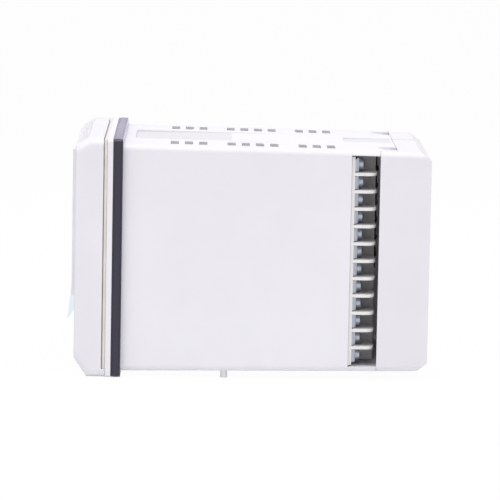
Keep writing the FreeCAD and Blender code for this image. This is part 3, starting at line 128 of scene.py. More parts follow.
def moulded_plastic(name, colour, roughness=0.5, variation=0.02, grain=0.4 * MM, relief=0.25):
    # Fine spark-eroded grain, with a faint cloudiness in the colour.
    made, tree, shader = start_material(name)
    clouds = noise(tree, 30 * MM, 3)
    tint = ramp(tree, clouds, shade(colour, 1 - variation), shade(colour, 1 + variation))
    tree.links.new(tint, shader.inputs["Base Color"])
    fine = noise(tree, grain, 2)
    tree.links.new(spread(tree, fine, roughness - 0.06, roughness + 0.06), shader.inputs["Roughness"])
    roughen(tree, shader, fine, 0.03 * MM, relief)
    return made


def with_number(tree, value, number, kind="GREATER_THAN"):
    # 1 where the value is above the number, or what another kind of sum gives.
    made = tree.nodes.new("ShaderNodeMath")
    made.operation = kind
    tree.links.new(value, made.inputs[0])
    made.inputs[1].default_value = number
    return made.outputs["Value"]


def combine(tree, first, second, kind="MULTIPLY"):
    made = tree.nodes.new("ShaderNodeMath")
    made.operation = kind
    tree.links.new(first, made.inputs[0])
    tree.links.new(second, made.inputs[1])
    return made.outputs["Value"]


def plastic_with_painted_recess_shade(name, colour, half_width, lowest, highest, taper, share):
    # The moulded plastic with painted shade: its colour is darker in the long recess along the top; the
    # levels are those at Y = 0.
    made = moulded_plastic(name, colour)
    tree = made.node_tree
    shader = next(node for node in tree.nodes if node.type == "BSDF_PRINCIPLED")
    tint = shader.inputs["Base Color"].links[0].from_socket
    split = tree.nodes.new("ShaderNodeSeparateXYZ")
    tree.links.new(object_place(tree), split.inputs["Vector"])
    away = tree.nodes.new("ShaderNodeMath")
    away.operation = "ABSOLUTE"
    tree.links.new(split.outputs["X"], away.inputs[0])
    tapered = with_number(tree, split.outputs["Y"], taper, "MULTIPLY")
    level = combine(tree, split.outputs["Z"], tapered, "ADD")
    between = combine(tree, with_number(tree, level, lowest),
                      with_number(tree, level, highest, "LESS_THAN"))
    inside = combine(tree, with_number(tree, away.outputs["Value"], half_width, "LESS_THAN"), between)
    # Painted shade: inside the recess the colour is scaled down by the share.
    painted_recess_shade = tree.nodes.new("ShaderNodeVectorMath")
    painted_recess_shade.operation = "SCALE"
    tree.links.new(tint, painted_recess_shade.inputs[0])
    tree.links.new(spread(tree, inside, 1.0, share), painted_recess_shade.inputs["Scale"])
    tree.links.new(painted_recess_shade.outputs["Vector"], shader.inputs["Base Color"])
    return made


def soft_rubber(name, colour, roughness, sheen, sheen_tint, painted_top_light=None, painted_top_level=0.0):
    # Where a top colour is given, the strip above its level has that colour: painted light, a lighter and
    # greyer top where the light from above falls.
    made, tree, shader = start_material(name)
    clouds = noise(tree, 8 * MM, 4)
    tint = ramp(tree, clouds, shade(colour, 0.92), shade(colour, 1.08))
    # Painted light: the top strip takes the lighter colour.
    if painted_top_light:
        split = tree.nodes.new("ShaderNodeSeparateXYZ")
        tree.links.new(object_place(tree), split.inputs["Vector"])
        mixed = tree.nodes.new("ShaderNodeMix")
        mixed.data_type = "RGBA"
        tree.links.new(with_number(tree, split.outputs["Z"], painted_top_level), mixed.inputs["Factor"])
        tree.links.new(tint, mixed.inputs["A"])
        mixed.inputs["B"].default_value = (*painted_top_light, 1)
        tint = mixed.outputs["Result"]
    tree.links.new(tint, shader.inputs["Base Color"])
    pores = noise(tree, 0.5 * MM, 3)
    tree.links.new(spread(tree, pores, roughness - 0.08, roughness + 0.08), shader.inputs["Roughness"])
    shader.inputs["Sheen Weight"].default_value = sheen
    shader.inputs["Sheen Roughness"].default_value = 0.4
    shader.inputs["Sheen Tint"].default_value = (*sheen_tint, 1)
    roughen(tree, shader, pores, 0.04 * MM, 0.35)
    return made


def plated_metal(name, colour, roughness):
    made, tree, shader = start_material(name)
    shader.inputs["Metallic"].default_value = 1.0
    stains = noise(tree, 1.5 * MM, 4)
    tint = ramp(tree, stains, shade(colour, 0.86), colour)
    tree.links.new(tint, shader.inputs["Base Color"])
    fine = noise(tree, 0.3 * MM, 3)
    tree.links.new(spread(tree, fine, roughness - 0.1, roughness + 0.1), shader.inputs["Roughness"])
    roughen(tree, shader, fine, 0.01 * MM, 0.3)
    return made


def clear_plastic(name, colour, alpha, roughness):
    made, tree, shader = start_material(name)
    streaks = noise(tree, 12 * MM, 2)
    tint = ramp(tree, streaks, shade(colour, 0.97), colour)
    tree.links.new(tint, shader.inputs["Base Color"])
    tree.links.new(spread(tree, streaks, roughness, roughness + 0.05), shader.inputs["Roughness"])
    shader.inputs["Alpha"].default_value = alpha
    return made


def tinted_film(name, colour, passed, share, roughness):
    # Thin clear film: most light passes and takes the tint, and a small share is scattered.
    made, tree, shader = start_material(name)
    streaks = noise(tree, 9 * MM, 3)
    tint = ramp(tree, streaks, shade(colour, 0.94), colour)
    tree.links.new(tint, shader.inputs["Base Color"])
    tree.links.new(spread(tree, streaks, roughness, roughness + 0.08), shader.inputs["Roughness"])
    clear = tree.nodes.new("ShaderNodeBsdfTransparent")
    clear.inputs["Color"].default_value = (*passed, 1)
    mixed = tree.nodes.new("ShaderNodeMixShader")
    mixed.inputs["Fac"].default_value = share
    output = next(node for node in tree.nodes if node.type == "OUTPUT_MATERIAL")
    tree.links.new(clear.outputs["BSDF"], mixed.inputs[1])
    tree.links.new(shader.outputs["BSDF"], mixed.inputs[2])
    tree.links.new(mixed.outputs["Shader"], output.inputs["Surface"])
    return made


def circuit_board(name, colour):
    # Glossy solder mask with the weave of the glass cloth faintly under it.
    made, tree, shader = start_material(name)
    threads = tree.nodes.new("ShaderNodeTexWave")
    threads.wave_profile = "SIN"
    threads.inputs["Scale"].default_value = 0.35 / MM
    threads.inputs["Distortion"].default_value = 1.5
    tree.links.new(object_place(tree, (0.2, 1, 1)), threads.inputs["Vector"])
    tint = ramp(tree, threads.outputs["Fac"], shade(colour, 0.9), shade(colour, 1.1))
    tree.links.new(tint, shader.inputs["Base Color"])
    shader.inputs["Roughness"].default_value = 0.28
    roughen(tree, shader, noise(tree, 0.6 * MM, 3), 0.02 * MM, 0.3)
    return made


def laminated_steel(name):
    made, tree, shader = start_material(name)
    shader.inputs["Metallic"].default_value = 0.7
    sheets = tree.nodes.new("ShaderNodeTexWave")
    sheets.inputs["Scale"].default_value = 0.3 / MM
    sheets.inputs["Distortion"].default_value = 0.6
    tree.links.new(object_place(tree), sheets.inputs["Vector"])
    tint = ramp(tree, sheets.outputs["Fac"], (0.05, 0.045, 0.04), (0.20, 0.19, 0.18))
    tree.links.new(tint, shader.inputs["Base Color"])
    shader.inputs["Roughness"].default_value = 0.5
    roughen(tree, shader, sheets.outputs["Fac"], 0.1 * MM, 0.6)
    return made


OFF_WHITE = (0.835, 0.820, 0.865)
MATERIALS = {
    "housing": moulded_plastic("housing_plastic", OFF_WHITE),
    "terminal_block": moulded_plastic("terminal_plastic", (0.83, 0.815, 0.81), roughness=0.42),
    "black_terminal_block": moulded_plastic("black_terminal_plastic", (0.020, 0.020, 0.022),
                                            roughness=0.4),
    "gasket": soft_rubber("gasket_rubber", (0.021, 0.019, 0.034), roughness=0.16, sheen=1.0,
                          sheen_tint=(0.78, 0.72, 1.0)),
    # The seal's top strip is painted light: lighter and greyer than the foam's own colour.
    "seal": soft_rubber("seal_foam", (0.76, 0.70, 0.66), roughness=0.8, sheen=0.2,
                        sheen_tint=(1.0, 0.95, 0.9), painted_top_light=(0.80, 0.79, 0.80), painted_top_level=47.1 * MM),
    "window": clear_plastic("smoked_window", (0.03, 0.032, 0.036), alpha=0.32, roughness=0.06),
    "film": tinted_film("blue_film", (0.30, 0.60, 1.0), passed=(0.92, 0.956, 0.99), share=0.06,
                        roughness=0.12),
    "key": moulded_plastic("key_plastic", (0.36, 0.37, 0.41), roughness=0.4, grain=0.3 * MM),
    "screw": plated_metal("zinc_screw", (0.46, 0.49, 0.56), roughness=0.24),
    "washer": plated_metal("zinc_washer", (0.50, 0.54, 0.63), roughness=0.35),
    "contact": plated_metal("tinned_contact", (0.52, 0.55, 0.63), roughness=0.38),
    "board": circuit_board("green_board", (0.010, 0.080, 0.034)),
    "connector": moulded_plastic("connector_plastic", (0.02, 0.02, 0.022), roughness=0.45),
    "chip": moulded_plastic("chip_plastic", (0.014, 0.014, 0.015), roughness=0.55),
    "relay": moulded_plastic("relay_plastic", (0.03, 0.10, 0.36), roughness=0.3, relief=0.05),
    "display": moulded_plastic("display_plastic", (0.012, 0.013, 0.014), roughness=0.2, relief=0.03),
    "core": laminated_steel("transformer_sheets"),
    "winding": moulded_plastic("winding_tape", (0.62, 0.40, 0.06), roughness=0.3, relief=0.1),
    "capacitor": moulded_plastic("capacitor_sleeve", (0.012, 0.02, 0.07), roughness=0.25, relief=0.05),
    "fuse": moulded_plastic("fuse_ceramic", (0.75, 0.73, 0.68), roughness=0.35, relief=0.1),
}
# The case carries painted shade, a darker colour in the long recess along its top.
CASE_PLASTIC = plastic_with_painted_recess_shade("case_plastic", OFF_WHITE, half_width=18.2 * MM, lowest=44.4 * MM,
                                highest=45.4 * MM, taper=0.0115, share=0.88)
END_PLASTIC = moulded_plastic("end_plastic", shade(OFF_WHITE, 0.968))
SEGMENT = moulded_plastic("segment_plastic", (0.34, 0.33, 0.32), roughness=0.4, relief=0.03)
PRINT = moulded_plastic("key_print", (0.05, 0.05, 0.06), roughness=0.5, relief=0.03)
SOLDER = plated_metal("solder", (0.62, 0.63, 0.65), roughness=0.32)
GOLD = plated_metal("gold_plate", (0.78, 0.53, 0.20), roughness=0.24)
TRACK = circuit_board("track_under_mask", (0.028, 0.155, 0.065))
WHITE_INK = moulded_plastic("white_ink", (0.70, 0.70, 0.68), roughness=0.5, relief=0.05)

SLOTS = {part["node"]: part["material_slot"] for part in frame["record"]["subparts"]}
OWN_MATERIALS = {"case_shell": CASE_PLASTIC, "bezel": END_PLASTIC, "terminal_cover": END_PLASTIC}
for name, thing in frame["nodes"].items():
    thing.data.materials.clear()
    thing.data.materials.append(OWN_MATERIALS.get(name) or MATERIALS[SLOTS[name]])


# Edges of the mouldings are slightly rounded

ROUNDING_MM = {
    "case_shell": 0.25, "bezel": 0.25, "terminal_cover": 0.3, "terminal_block_right": 0.15,
    "terminal_block_left": 0.15, "terminal_block_centre": 0.15, "relay_upper": 0.5, "relay_lower": 0.5,
    "processor": 0.15, "converter": 0.3, "isolators": 0.15, "display_module": 0.3,
    "key_1": 0.3, "key_2": 0.3, "key_3": 0.3, "key_4": 0.3, "key_5": 0.3,
}


def soften(name, width):
    thing = frame["nodes"][name]
    weld = thing.modifiers.new("weld", "WELD")
    weld.merge_threshold = WELD_DISTANCE
    bevel = thing.modifiers.new("bevel", "BEVEL")
    bevel.width = width
    bevel.segments = 2
    bevel.limit_method = "ANGLE"
    bevel.angle_limit = BEVEL_ANGLE
    bevel.harden_normals = False


for name, width in ROUNDING_MM.items():
    soften(name, width * MM)


# Pieces that replace a plain solid or stand on one

def solids_of(name):
    # The lowest and highest corner of each separate solid of a node.
    mesh = bmesh.new()
    mesh.from_mesh(frame["nodes"][name].data)
    bmesh.ops.remove_doubles(mesh, verts=mesh.verts, dist=WELD_DISTANCE)
    left = set(mesh.verts)
    found = []
    while left:
        grown = {left.pop()}
        waiting = list(grown)
        while waiting:
            vertex = waiting.pop()
            for edge in vertex.link_edges:
                other = edge.other_vert(vertex)
                if other in left:
                    left.remove(other)
                    grown.add(other)
                    waiting.append(other)
        found.append(tuple(Vector([pick(vertex.co[axis] for vertex in grown) for axis in range(3)])
                           for pick in (min, max)))
    mesh.free()
    return sorted(found, key=lambda box: tuple(box[0]))


def add_piece(name, mesh, body, slot, material=None, replaced=(), smooth=True):
    bmesh.ops.recalc_face_normals(mesh, faces=mesh.faces)
    data = bpy.data.meshes.new(name)
    mesh.to_mesh(data)
    mesh.free()
    data.materials.append(material or MATERIALS[slot])
    piece = bpy.data.objects.new(name, data)
    bpy.context.collection.objects.link(piece)
    if smooth:
        data.polygons.foreach_set("use_smooth", [True] * len(data.polygons))
        data.set_sharp_from_angle(angle=SMOOTH_ANGLE)
    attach(piece, body)
    if replaced:
        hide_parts(*replaced)
    return piece


def ring(mesh, radius, level, count):
    turns = [math.tau * step / count for step in range(count)]
    return [mesh.verts.new((radius * math.cos(turn), radius * math.sin(turn), level)) for turn in turns]


def join_rings(mesh, first, second):
    count = len(first)
    for step in range(count):
        following = (step + 1) % count
        mesh.faces.new((first[step], first[following], second[following], second[step]))


def cross_outline(half_width, long_arm, short_arm):
    quarter = ((long_arm, -half_width), (long_arm, half_width), (half_width, half_width))
    upright = ((half_width, short_arm), (-half_width, short_arm), (-half_width, half_width))
    points = quarter + upright
    return points + tuple((-across, -up) for across, up in points)


SCREW_SIDES = 28
RIM_STEPS = 4
SCREW_HEAD = 2.2 * MM
BOARD_SCREW_HEAD = 1.4 * MM


def screw(radius, height, shank, length, turn):
    # A round head with a cross recess in its top, towards +Z, and a plain shank below it.
    made = bmesh.new()
    profile = [(shank * 0.7, -length), (shank, -length + shank * 0.4), (shank, 0), (radius * 0.97, 0),
               (radius, radius * 0.04), (radius, height * 0.45)]
    for step in range(1, RIM_STEPS + 1):
        turned_by = math.radians(90 * step / RIM_STEPS)
        profile.append((radius - radius * 0.26 * (1 - math.cos(turned_by)),
                        height * (0.45 + 0.55 * math.sin(turned_by))))
    rings = [ring(made, size, level, SCREW_SIDES) for size, level in profile]
    for first, second in zip(rings, rings[1:]):
        join_rings(made, first, second)
    made.faces.new(rings[0])
    outline = cross_outline(radius * 0.13, radius * 0.62, radius * 0.5)
    upper = [made.verts.new((across, up, height)) for across, up in outline]
    lower = [made.verts.new((across * 0.8, up * 0.8, height - height * 0.5)) for across, up in outline]
    join_rings(made, upper, lower)
    made.faces.new(lower)
    borders = []
    for loop in (rings[-1], upper):
        for step in range(len(loop)):
            pair = (loop[step], loop[(step + 1) % len(loop)])
            borders.append(made.edges.get(pair) or made.edges.new(pair))
    bmesh.ops.triangle_fill(made, use_beauty=True, edges=borders)
    bmesh.ops.rotate(made, verts=made.verts, cent=(0, 0, 0), matrix=Matrix.Rotation(turn, 3, "Z"))
    return made


def add_screws(name, node, body, facing, head_height):
    # One detailed screw in the place of each plain one; facing is +1 where the heads point to +Y.
    whole = bmesh.new()
    for number, (low, high) in enumerate(solids_of(node)):
        radius = (high.x - low.x) / 2
        length = (high.y - low.y) - head_height
        one = screw(radius, head_height, radius * 0.5, length, turn=math.radians((37 * number) % 90))
        middle = (low + high) / 2
        seat = high.y - head_height if facing > 0 else low.y + head_height
        place = Matrix.Translation((middle.x, seat, middle.z))
        upright = Matrix.Rotation(math.radians(-90 * facing), 4, "X")
        bmesh.ops.transform(one, matrix=place @ upright, verts=one.verts)
        data = bpy.data.meshes.new("part")
        one.to_mesh(data)
        one.free()
        whole.from_mesh(data)
        bpy.data.meshes.remove(data)
    add_piece(name, whole, body, "screw", replaced=(node,))


for side in ("right", "left", "centre"):
    add_screws("cross_screws_" + side, "terminal_screws_" + side, "case", 1, SCREW_HEAD)
add_screws("rear_board_cross_screws", "rear_board_screws", "case", -1, BOARD_SCREW_HEAD)
add_screws("front_board_cross_screws", "front_board_screws", "front_unit", 1, BOARD_SCREW_HEAD)


# How far each point of the gasket's half profile draws in, and its distance from the edge, in mm
GASKET_PROFILE_MM = ((0.45, 0.0), (0.16, 0.10), (0.0, 0.38), (0.0, 0.52), (0.2, 0.66), (0.2, 0.78),
                     (0.0, 0.92))
GASKET_CORNER = 1.6 * MM
LEAST_CORNER = 0.3 * MM
CORNER_STEPS = 6


def add_gasket():
    # The rubber ring's edges are rounded, and a fine groove runs round it near each of them.
    low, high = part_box("panel_gasket")
    outer = high[0]
    data = frame["nodes"]["panel_gasket"].data
    inner = min(max(abs(vertex.co.x), abs(vertex.co.z)) for vertex in data.vertices)
    half = [(inset * MM, low[1] + along * MM) for inset, along in GASKET_PROFILE_MM]
    other = [(inset, high[1] - (along - low[1])) for inset, along in reversed(half)]
    rows = half + other + [(outer - inner, high[1]), (outer - inner, low[1])]
    made = bmesh.new()
    rings = []
    for inset, along in rows:
        size = outer - inset
        radius = max(GASKET_CORNER - inset, LEAST_CORNER)
        line = []
        for quarter, (across, up) in enumerate(((1, 1), (-1, 1), (-1, -1), (1, -1))):
            for step in range(CORNER_STEPS + 1):
                turn = math.radians(90 * quarter + 90 / CORNER_STEPS * step)
                line.append(made.verts.new((across * (size - radius) + radius * math.cos(turn), along,
                                            up * (size - radius) + radius * math.sin(turn))))
        rings.append(line)
    for first, second in zip(rings, rings[1:] + rings[:1]):
        join_rings(made, first, second)
    add_piece("ribbed_gasket", made, "case", "gasket", replaced=("panel_gasket",))


add_gasket()


# The film: its outline, its place on the window frame, its dip to the bezel below, and its loose corner

FILM_HALF_WIDTH = 42 * MM
FILM_TOP = 42.8 * MM
FILM_BOTTOM = -25.4 * MM
FILM_THICKNESS = 0.1 * MM
FILM_COLUMNS = 28
FILM_ROWS = 64
FILM_BACK = -20.03 * MM
DIP_TOP = -15.8 * MM
DIP_HEIGHT = 7 * MM
DIP_DEPTH = 1.1 * MM
LOOSE_TOP = -9 * MM
LOOSE_SHARE = 0.42
CORNER_BACK = -20.05 * MM
CORNER_LIFT = 1.59 * MM


def film_place(share, height):
    # Where the film lies along Y, at a share of its width and a height; the low corner at +X is loose.
    dip = min(max((DIP_TOP - height) / DIP_HEIGHT, 0), 1)
    resting = FILM_BACK + DIP_DEPTH * dip * dip * (3 - 2 * dip)
    free = max((LOOSE_TOP - height) / (LOOSE_TOP - FILM_BOTTOM), 0)
    lifted = CORNER_BACK - CORNER_LIFT * free ** 1.4
    loose = max((share - LOOSE_SHARE) / (1 - LOOSE_SHARE), 0) ** 1.3
    return resting * (1 - loose) + lifted * loose


def add_film():
    made = bmesh.new()
    sheets = []
    for offset in (0, -FILM_THICKNESS):
        sheet = []
        for row in range(FILM_ROWS + 1):
            height = FILM_TOP + (FILM_BOTTOM - FILM_TOP) * row / FILM_ROWS
            line = []
            for column in range(FILM_COLUMNS + 1):
                share = column / FILM_COLUMNS
                across = FILM_HALF_WIDTH * (2 * share - 1)
                line.append(made.verts.new((across, film_place(share, height) + offset, height)))
            sheet.append(line)
        sheets.append(sheet)
    for sheet in sheets:
        for upper, lower in zip(sheet, sheet[1:]):
            for step in range(FILM_COLUMNS):
                made.faces.new((upper[step], upper[step + 1], lower[step + 1], lower[step]))
    borders = [[sheet[place] for sheet in sheets] for place in (0, -1)]
    borders += [[[line[place] for line in sheet] for sheet in sheets] for place in (0, -1)]
    for back, front in borders:
        for step in range(len(back) - 1):
            made.faces.new((back[step], back[step + 1], front[step + 1], front[step]))
    add_piece("loose_film", made, "front_unit", "film", replaced=("protective_film",))


add_film()


# Unlit digits of the display

SEGMENT_THICKNESS = 0.12 * MM
# First digit's place across, pitch, level and height of each row of digits, in mm
DIGIT_ROWS_MM = ((-22.5, 15, 27, 15), (-16.5, 11, 5.5, 10.5))
DOT_RADIUS = 0.9 * MM


def add_prism(mesh, outline, start, end, place):
    # A prism over an outline in X and Z, between two places along Y.
    rows = [[mesh.verts.new((place[0] + across, level, place[1] + up)) for across, up in outline]
            for level in (start, end)]
    join_rings(mesh, *rows)
    mesh.faces.new(rows[0])
    mesh.faces.new(rows[1])


def bar(length, width):
    # A display segment: a bar with pointed ends.
    half = length / 2
    side = width / 2
    return ((-half, 0), (-half + side, side), (half - side, side), (half, 0), (half - side, -side),
            (-half + side, -side))


def add_digit(mesh, place, height, face):
    # Seven unlit segments, as a display shows them with the power off.
    width = height * 0.52
    stroke = height * 0.13
    level = height / 2
    flat = bar(width * 0.86, stroke)
    upright = [(up, across) for across, up in bar(level * 0.92, stroke)]
    for up in (-level, 0, level):
        add_prism(mesh, flat, face - SEGMENT_THICKNESS, face, (place[0], place[1] + up))
    for across in (-width / 2, width / 2):
        for up in (-level / 2, level / 2):
            add_prism(mesh, upright, face - SEGMENT_THICKNESS, face, (place[0] + across, place[1] + up))


def disc(radius, count=20):
    return [(radius * math.cos(math.tau * step / count), radius * math.sin(math.tau * step / count))
            for step in range(count)]


def add_display():
    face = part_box("display_module")[0][1]
    made = bmesh.new()
    for column in range(4):
        for first, pitch, level, height in DIGIT_ROWS_MM:
            add_digit(made, ((first + pitch * column) * MM, level * MM), height * MM, face)
        add_prism(made, disc(DOT_RADIUS), face - SEGMENT_THICKNESS, face,
                  ((-16.3 + 15 * column) * MM, 19.0 * MM))
    lamp = [(across * MM, up * MM) for across, up in ((-1.6, -0.8), (1.6, -0.8), (1.6, 0.8), (-1.6, 0.8))]
    for row in range(4):
        add_prism(made, lamp, face - SEGMENT_THICKNESS, face, (-34.5 * MM, (33 - 9 * row) * MM))
    add_piece("display_segments", made, "front_unit", "display", material=SEGMENT, smooth=False)


add_display()


# Plain signs on the keys: a ring, a bar, and three arrowheads

BAR = ((-1.5, -0.35), (1.5, -0.35), (1.5, 0.35), (-1.5, 0.35))
ARROW = ((-1.5, -0.9), (1.5, -0.9), (0, 1.2))
RING_OUTSIDE = 1.7 * MM
RING_INSIDE = 1.15 * MM
PRINT_HEIGHT = 0.03 * MM
PRINT_DEPTH = 0.1 * MM


def turned(outline, quarter_turns):
    for _ in range(quarter_turns):
        outline = tuple((-up, across) for across, up in outline)
    return outline


def add_sign(number, outline, hole=None):
    node = "key_%d" % number
    low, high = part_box(node)
    centre = ((low[0] + high[0]) / 2, (low[2] + high[2]) / 2)
    made = bmesh.new()
    levels = (low[1] - PRINT_HEIGHT, low[1] + PRINT_DEPTH)
    if hole:
        rings = [[made.verts.new((centre[0] + across, level, centre[1] + up)) for across, up in shape]
                 for level in levels for shape in (outline, hole)]
        join_rings(made, rings[0], rings[1])
        join_rings(made, rings[1], rings[3])
        join_rings(made, rings[3], rings[2])
        join_rings(made, rings[2], rings[0])
    else:
        add_prism(made, outline, *levels, centre)
    add_piece("key_sign_%d" % number, made, node, "key", material=PRINT, smooth=False)


def in_metres(outline):
    return tuple((across * MM, up * MM) for across, up in outline)


add_sign(1, disc(RING_OUTSIDE), disc(RING_INSIDE))
add_sign(2, in_metres(BAR))
add_sign(3, in_metres(turned(ARROW, 1)))
add_sign(4, in_metres(turned(ARROW, 2)))
add_sign(5, in_metres(ARROW))


# What the boards carry: tracks, solder, leads, small parts and gold contacts

LONG_BOARDS = {"main": 40.0, "option": 0.0, "power": -40.0}
HALF_BOARD = 0.8


def circle(along, up, radius, level, count=10):
    turns = [math.tau * step / count for step in range(count)]
    return [(along + radius * math.cos(turn), up + radius * math.sin(turn), level) for turn in turns]


class Side:
    """One face of a long board, in mm: face is its place along X, out is the way it looks."""

    def __init__(self, mesh, face, out):
        self.mesh = mesh
        self.face = face * MM
        self.out = out

    def point(self, along, up, height):
        return self.mesh.verts.new((self.face + self.out * height * MM, along * MM, up * MM))

    def rings(self, *rows):
        # Closed form through rows of places (along, up, height), from the board outward.
        made = [[self.point(*place) for place in row] for row in rows]
        for first, second in zip(made, made[1:]):
            join_rings(self.mesh, first, second)
        self.mesh.faces.new(made[0])
        self.mesh.faces.new(made[-1])

    def block(self, along, up, length, width, height, edge):
        # A small part's body on the board, with its outer edges cut off by edge.
        def corners(inset, level):
            half_length, half_width = length / 2 - inset, width / 2 - inset
            return [(along + a * half_length, up + b * half_width, level)
                    for a, b in ((-1, -1), (1, -1), (1, 1), (-1, 1))]
        self.rings(corners(0, 0), corners(0, height - edge), corners(edge, height))

    def joint(self, along, up, radius=0.75, height=0.7):
        # Solder round a pin that comes through the board.
        profile = ((1, 0), (0.6, 0.35), (0.36, 0.8), (0.2, 1))
        self.rings(*(circle(along, up, radius * size, height * level) for size, level in profile))

    def track(self, places, width=0.32, height=0.05):
        for (a, b), (c, d) in zip(places, places[1:]):
            length = math.hypot(c - a, d - b)
            ahead = ((c - a) / length * width / 2, (d - b) / length * width / 2)
            aside = (-ahead[1], ahead[0])
            first, last = (a - ahead[0], b - ahead[1]), (c + ahead[0], d + ahead[1])
            outline = [(place[0] + way * aside[0], place[1] + way * aside[1])
                       for place, way in ((first, 1), (last, 1), (last, -1), (first, -1))]
            self.rings(*([(along, up, level) for along, up in outline] for level in (0, height)))

    def bundle(self, along, up, first, shift, last, count, pitch=0.85):
        # Tracks that run side by side along Y, slant by shift, and run on.
        slant = abs(shift)
        for number in range(count):
            level = up + number * pitch
            delay = number * pitch * 0.41 * (1 if shift < 0 else -1)
            bend = along + first + delay
            self.track([(along, level), (bend, level), (bend + slant, level + shift),
                        (bend + slant + last - delay, level + shift)])

    def leads(self, along, up, length, width, pitch, count, across=False):
        # Bent leads on two opposite sides of a chip: across it, on the sides that face up and down.
        shape = ((-0.2, 0.75), (0.3, 0.75), (0.55, 0.16), (1.0, 0.16), (1.0, 0), (0.42, 0), (0.2, 0.6),
                 (-0.2, 0.6))
        for number in range(count):
            place = (number - (count - 1) / 2) * pitch
            for way in (-1, 1):
                rows = []
                for edge in (-0.17, 0.17):
                    if across:
                        rows.append([(along + place + edge, up + way * (width / 2 + reach), level)
                                     for reach, level in shape])
                    else:
                        rows.append([(along + way * (length / 2 + reach), up + place + edge, level)
                                     for reach, level in shape])
                self.rings(*rows)


def board_sides(mesh):
    return {(name, out): Side(mesh, place + out * HALF_BOARD, out)
            for name, place in LONG_BOARDS.items() for out in (1, -1)}


HEADER_PITCH = 2.5
EDGE_TRACK_LEVEL = 38.6
CONTACT_COUNT = 22
CONTACT_PITCH = 2.54
SMALL_CAP_REACH = 0.83
SMALL_CAP_HEIGHT = 0.52
# Bundles of tracks: place along Y, level, first run, slant, last run and number of tracks, in mm
LEANING_BUNDLES = ((0, -13.5, 9, 6, 28, 8), (0, 3, 14, 9, 34, 9))
BUNDLES = ((48, -34, 6, 5, 16, 7), (46, 20, 8, -4, 16, 8), (8, 30, 12, -5, 12, 6), (6, -37, 16, 7, 10, 6))


def add_tracks():
    made = bmesh.new()
    for (_, out), side in board_sides(made).items():
        for along, up, first, shift, last, count in LEANING_BUNDLES:
            side.bundle(along, up, first, shift * out, last, count)
        for bundle in BUNDLES:
            side.bundle(*bundle)
        for up in (-EDGE_TRACK_LEVEL, EDGE_TRACK_LEVEL):
            side.track([(-2, up), (74, up)], width=1.6)
    add_piece("board_tracks", made, "front_unit", "board", material=TRACK, smooth=False)


def solder_places(name):
    # Pins of the header, the relays or the power parts, which come through to the far side.
    places = [(along, up * HEADER_PITCH) for along in (-9.0, -6.4) for up in range(-5, 6)]
    if name == "main":
        for middle in (24.5, -24.5):
            places += [(52.5, middle - 5), (52.5, middle + 5), (60, middle - 5), (67.5, middle - 5),
                       (67.5, middle + 5)]
    if name == "option":
        places += [(along, -18.5 + 2.64 * number) for along in (40.8, 48.2) for number in range(15)]
    if name == "power":
        places += [(along, up) for along in (36, 52) for up in (-16, -11, -5.4, 0.2, 5)]
        places += [(24.3, 27), (31.7, 27), (49.5, 27), (54.5, 27), (28.5, -32.4), (47.5, -32.4)]
        places += [(63, -30), (66, -30), (69, -30), (63, -20), (69, -20)]
    return places


VIAS = ((9, 17), (17, -24), (30, 35), (41, -31), (63, -8), (66, 9), (70, -14), (12, 26), (35, 28))
# Small parts: place along Y, level, and 1 where the part stands upright, in mm
SMALL_PARTS = (
    (12, -20, 0), (12, -22, 0), (12, -24, 0), (12, -26, 0), (4, 22, 1), (6, 22, 1), (8, 22, 1),
    (10, 22, 1), (38, 18, 1), (40, 18, 1), (42, 18, 1), (36, -30, 0), (36, -32.2, 0), (36, -34.4, 0),
    (40, -34.4, 0), (64, 0, 0), (64, -2.2, 0), (64, 2.2, 0), (64, 4.4, 0), (70, 12, 1), (72, 12, 1),
    (20, 33, 0), (24, 33, 0), (56, 36, 0), (60, 36, 0), (24, -18, 1), (26, -18, 1), (28, -18, 1),
    (30, -18, 1), (48, -12, 0), (52, -12, 0))


def add_solder():
    made = bmesh.new()
    sides = board_sides(made)
    for name, out in (("main", 1), ("option", -1), ("power", -1)):
        for along, up in solder_places(name):
            sides[name, out].joint(along, up)
    for side in sides.values():
        for along, up in VIAS:
            side.joint(along, up, radius=0.42, height=0.1)
    inner = sides["main", -1]
    inner.leads(26, 0, length=16, width=16, pitch=0.8, count=17, across=True)
    inner.leads(26, 0, length=16, width=16, pitch=0.8, count=17)
    inner.leads(45.4, 0, length=10, width=12, pitch=1.27, count=8)
    sides["option", 1].leads(44.5, 0, length=9, width=40, pitch=2.54, count=15)
    for side in sides.values():
        for along, up, upright in SMALL_PARTS:
            for reach in (-SMALL_CAP_REACH, SMALL_CAP_REACH):
                place = (along, up + reach) if upright else (along + reach, up)
                size = (1.0, 0.4) if upright else (0.4, 1.0)
                side.block(*place, *size, SMALL_CAP_HEIGHT, edge=0.05)
    add_piece("board_solder", made, "front_unit", "contact", material=SOLDER)


def add_small_parts():
    # Every third part is a brown capacitor, a little higher than the black resistors.
    bodies = (("small_resistors", (0.018, 0.018, 0.02), 0), ("small_capacitors", (0.36, 0.24, 0.14), 1))
    for name, colour, kind in bodies:
        made = bmesh.new()
        for side in board_sides(made).values():
            for number, (along, up, upright) in enumerate(SMALL_PARTS):
                if number % 3 // 2 == kind:
                    size = (0.9, 1.3) if upright else (1.3, 0.9)
                    side.block(along, up, *size, 0.5 + 0.15 * kind, edge=0.06)
        body = moulded_plastic(name + "_body", colour, roughness=0.4, relief=0.05)
        add_piece(name, made, "front_unit", "chip", material=body, smooth=False)


def add_gold_contacts():
    made = bmesh.new()
    for side in board_sides(made).values():
        for number in range(CONTACT_COUNT):
            up = CONTACT_PITCH * (number - (CONTACT_COUNT - 1) / 2)
            side.track([(74.6, up), (79.2, up)], width=1.5, height=0.06)
    add_piece("gold_contacts", made, "front_unit", "contact", material=GOLD, smooth=False)


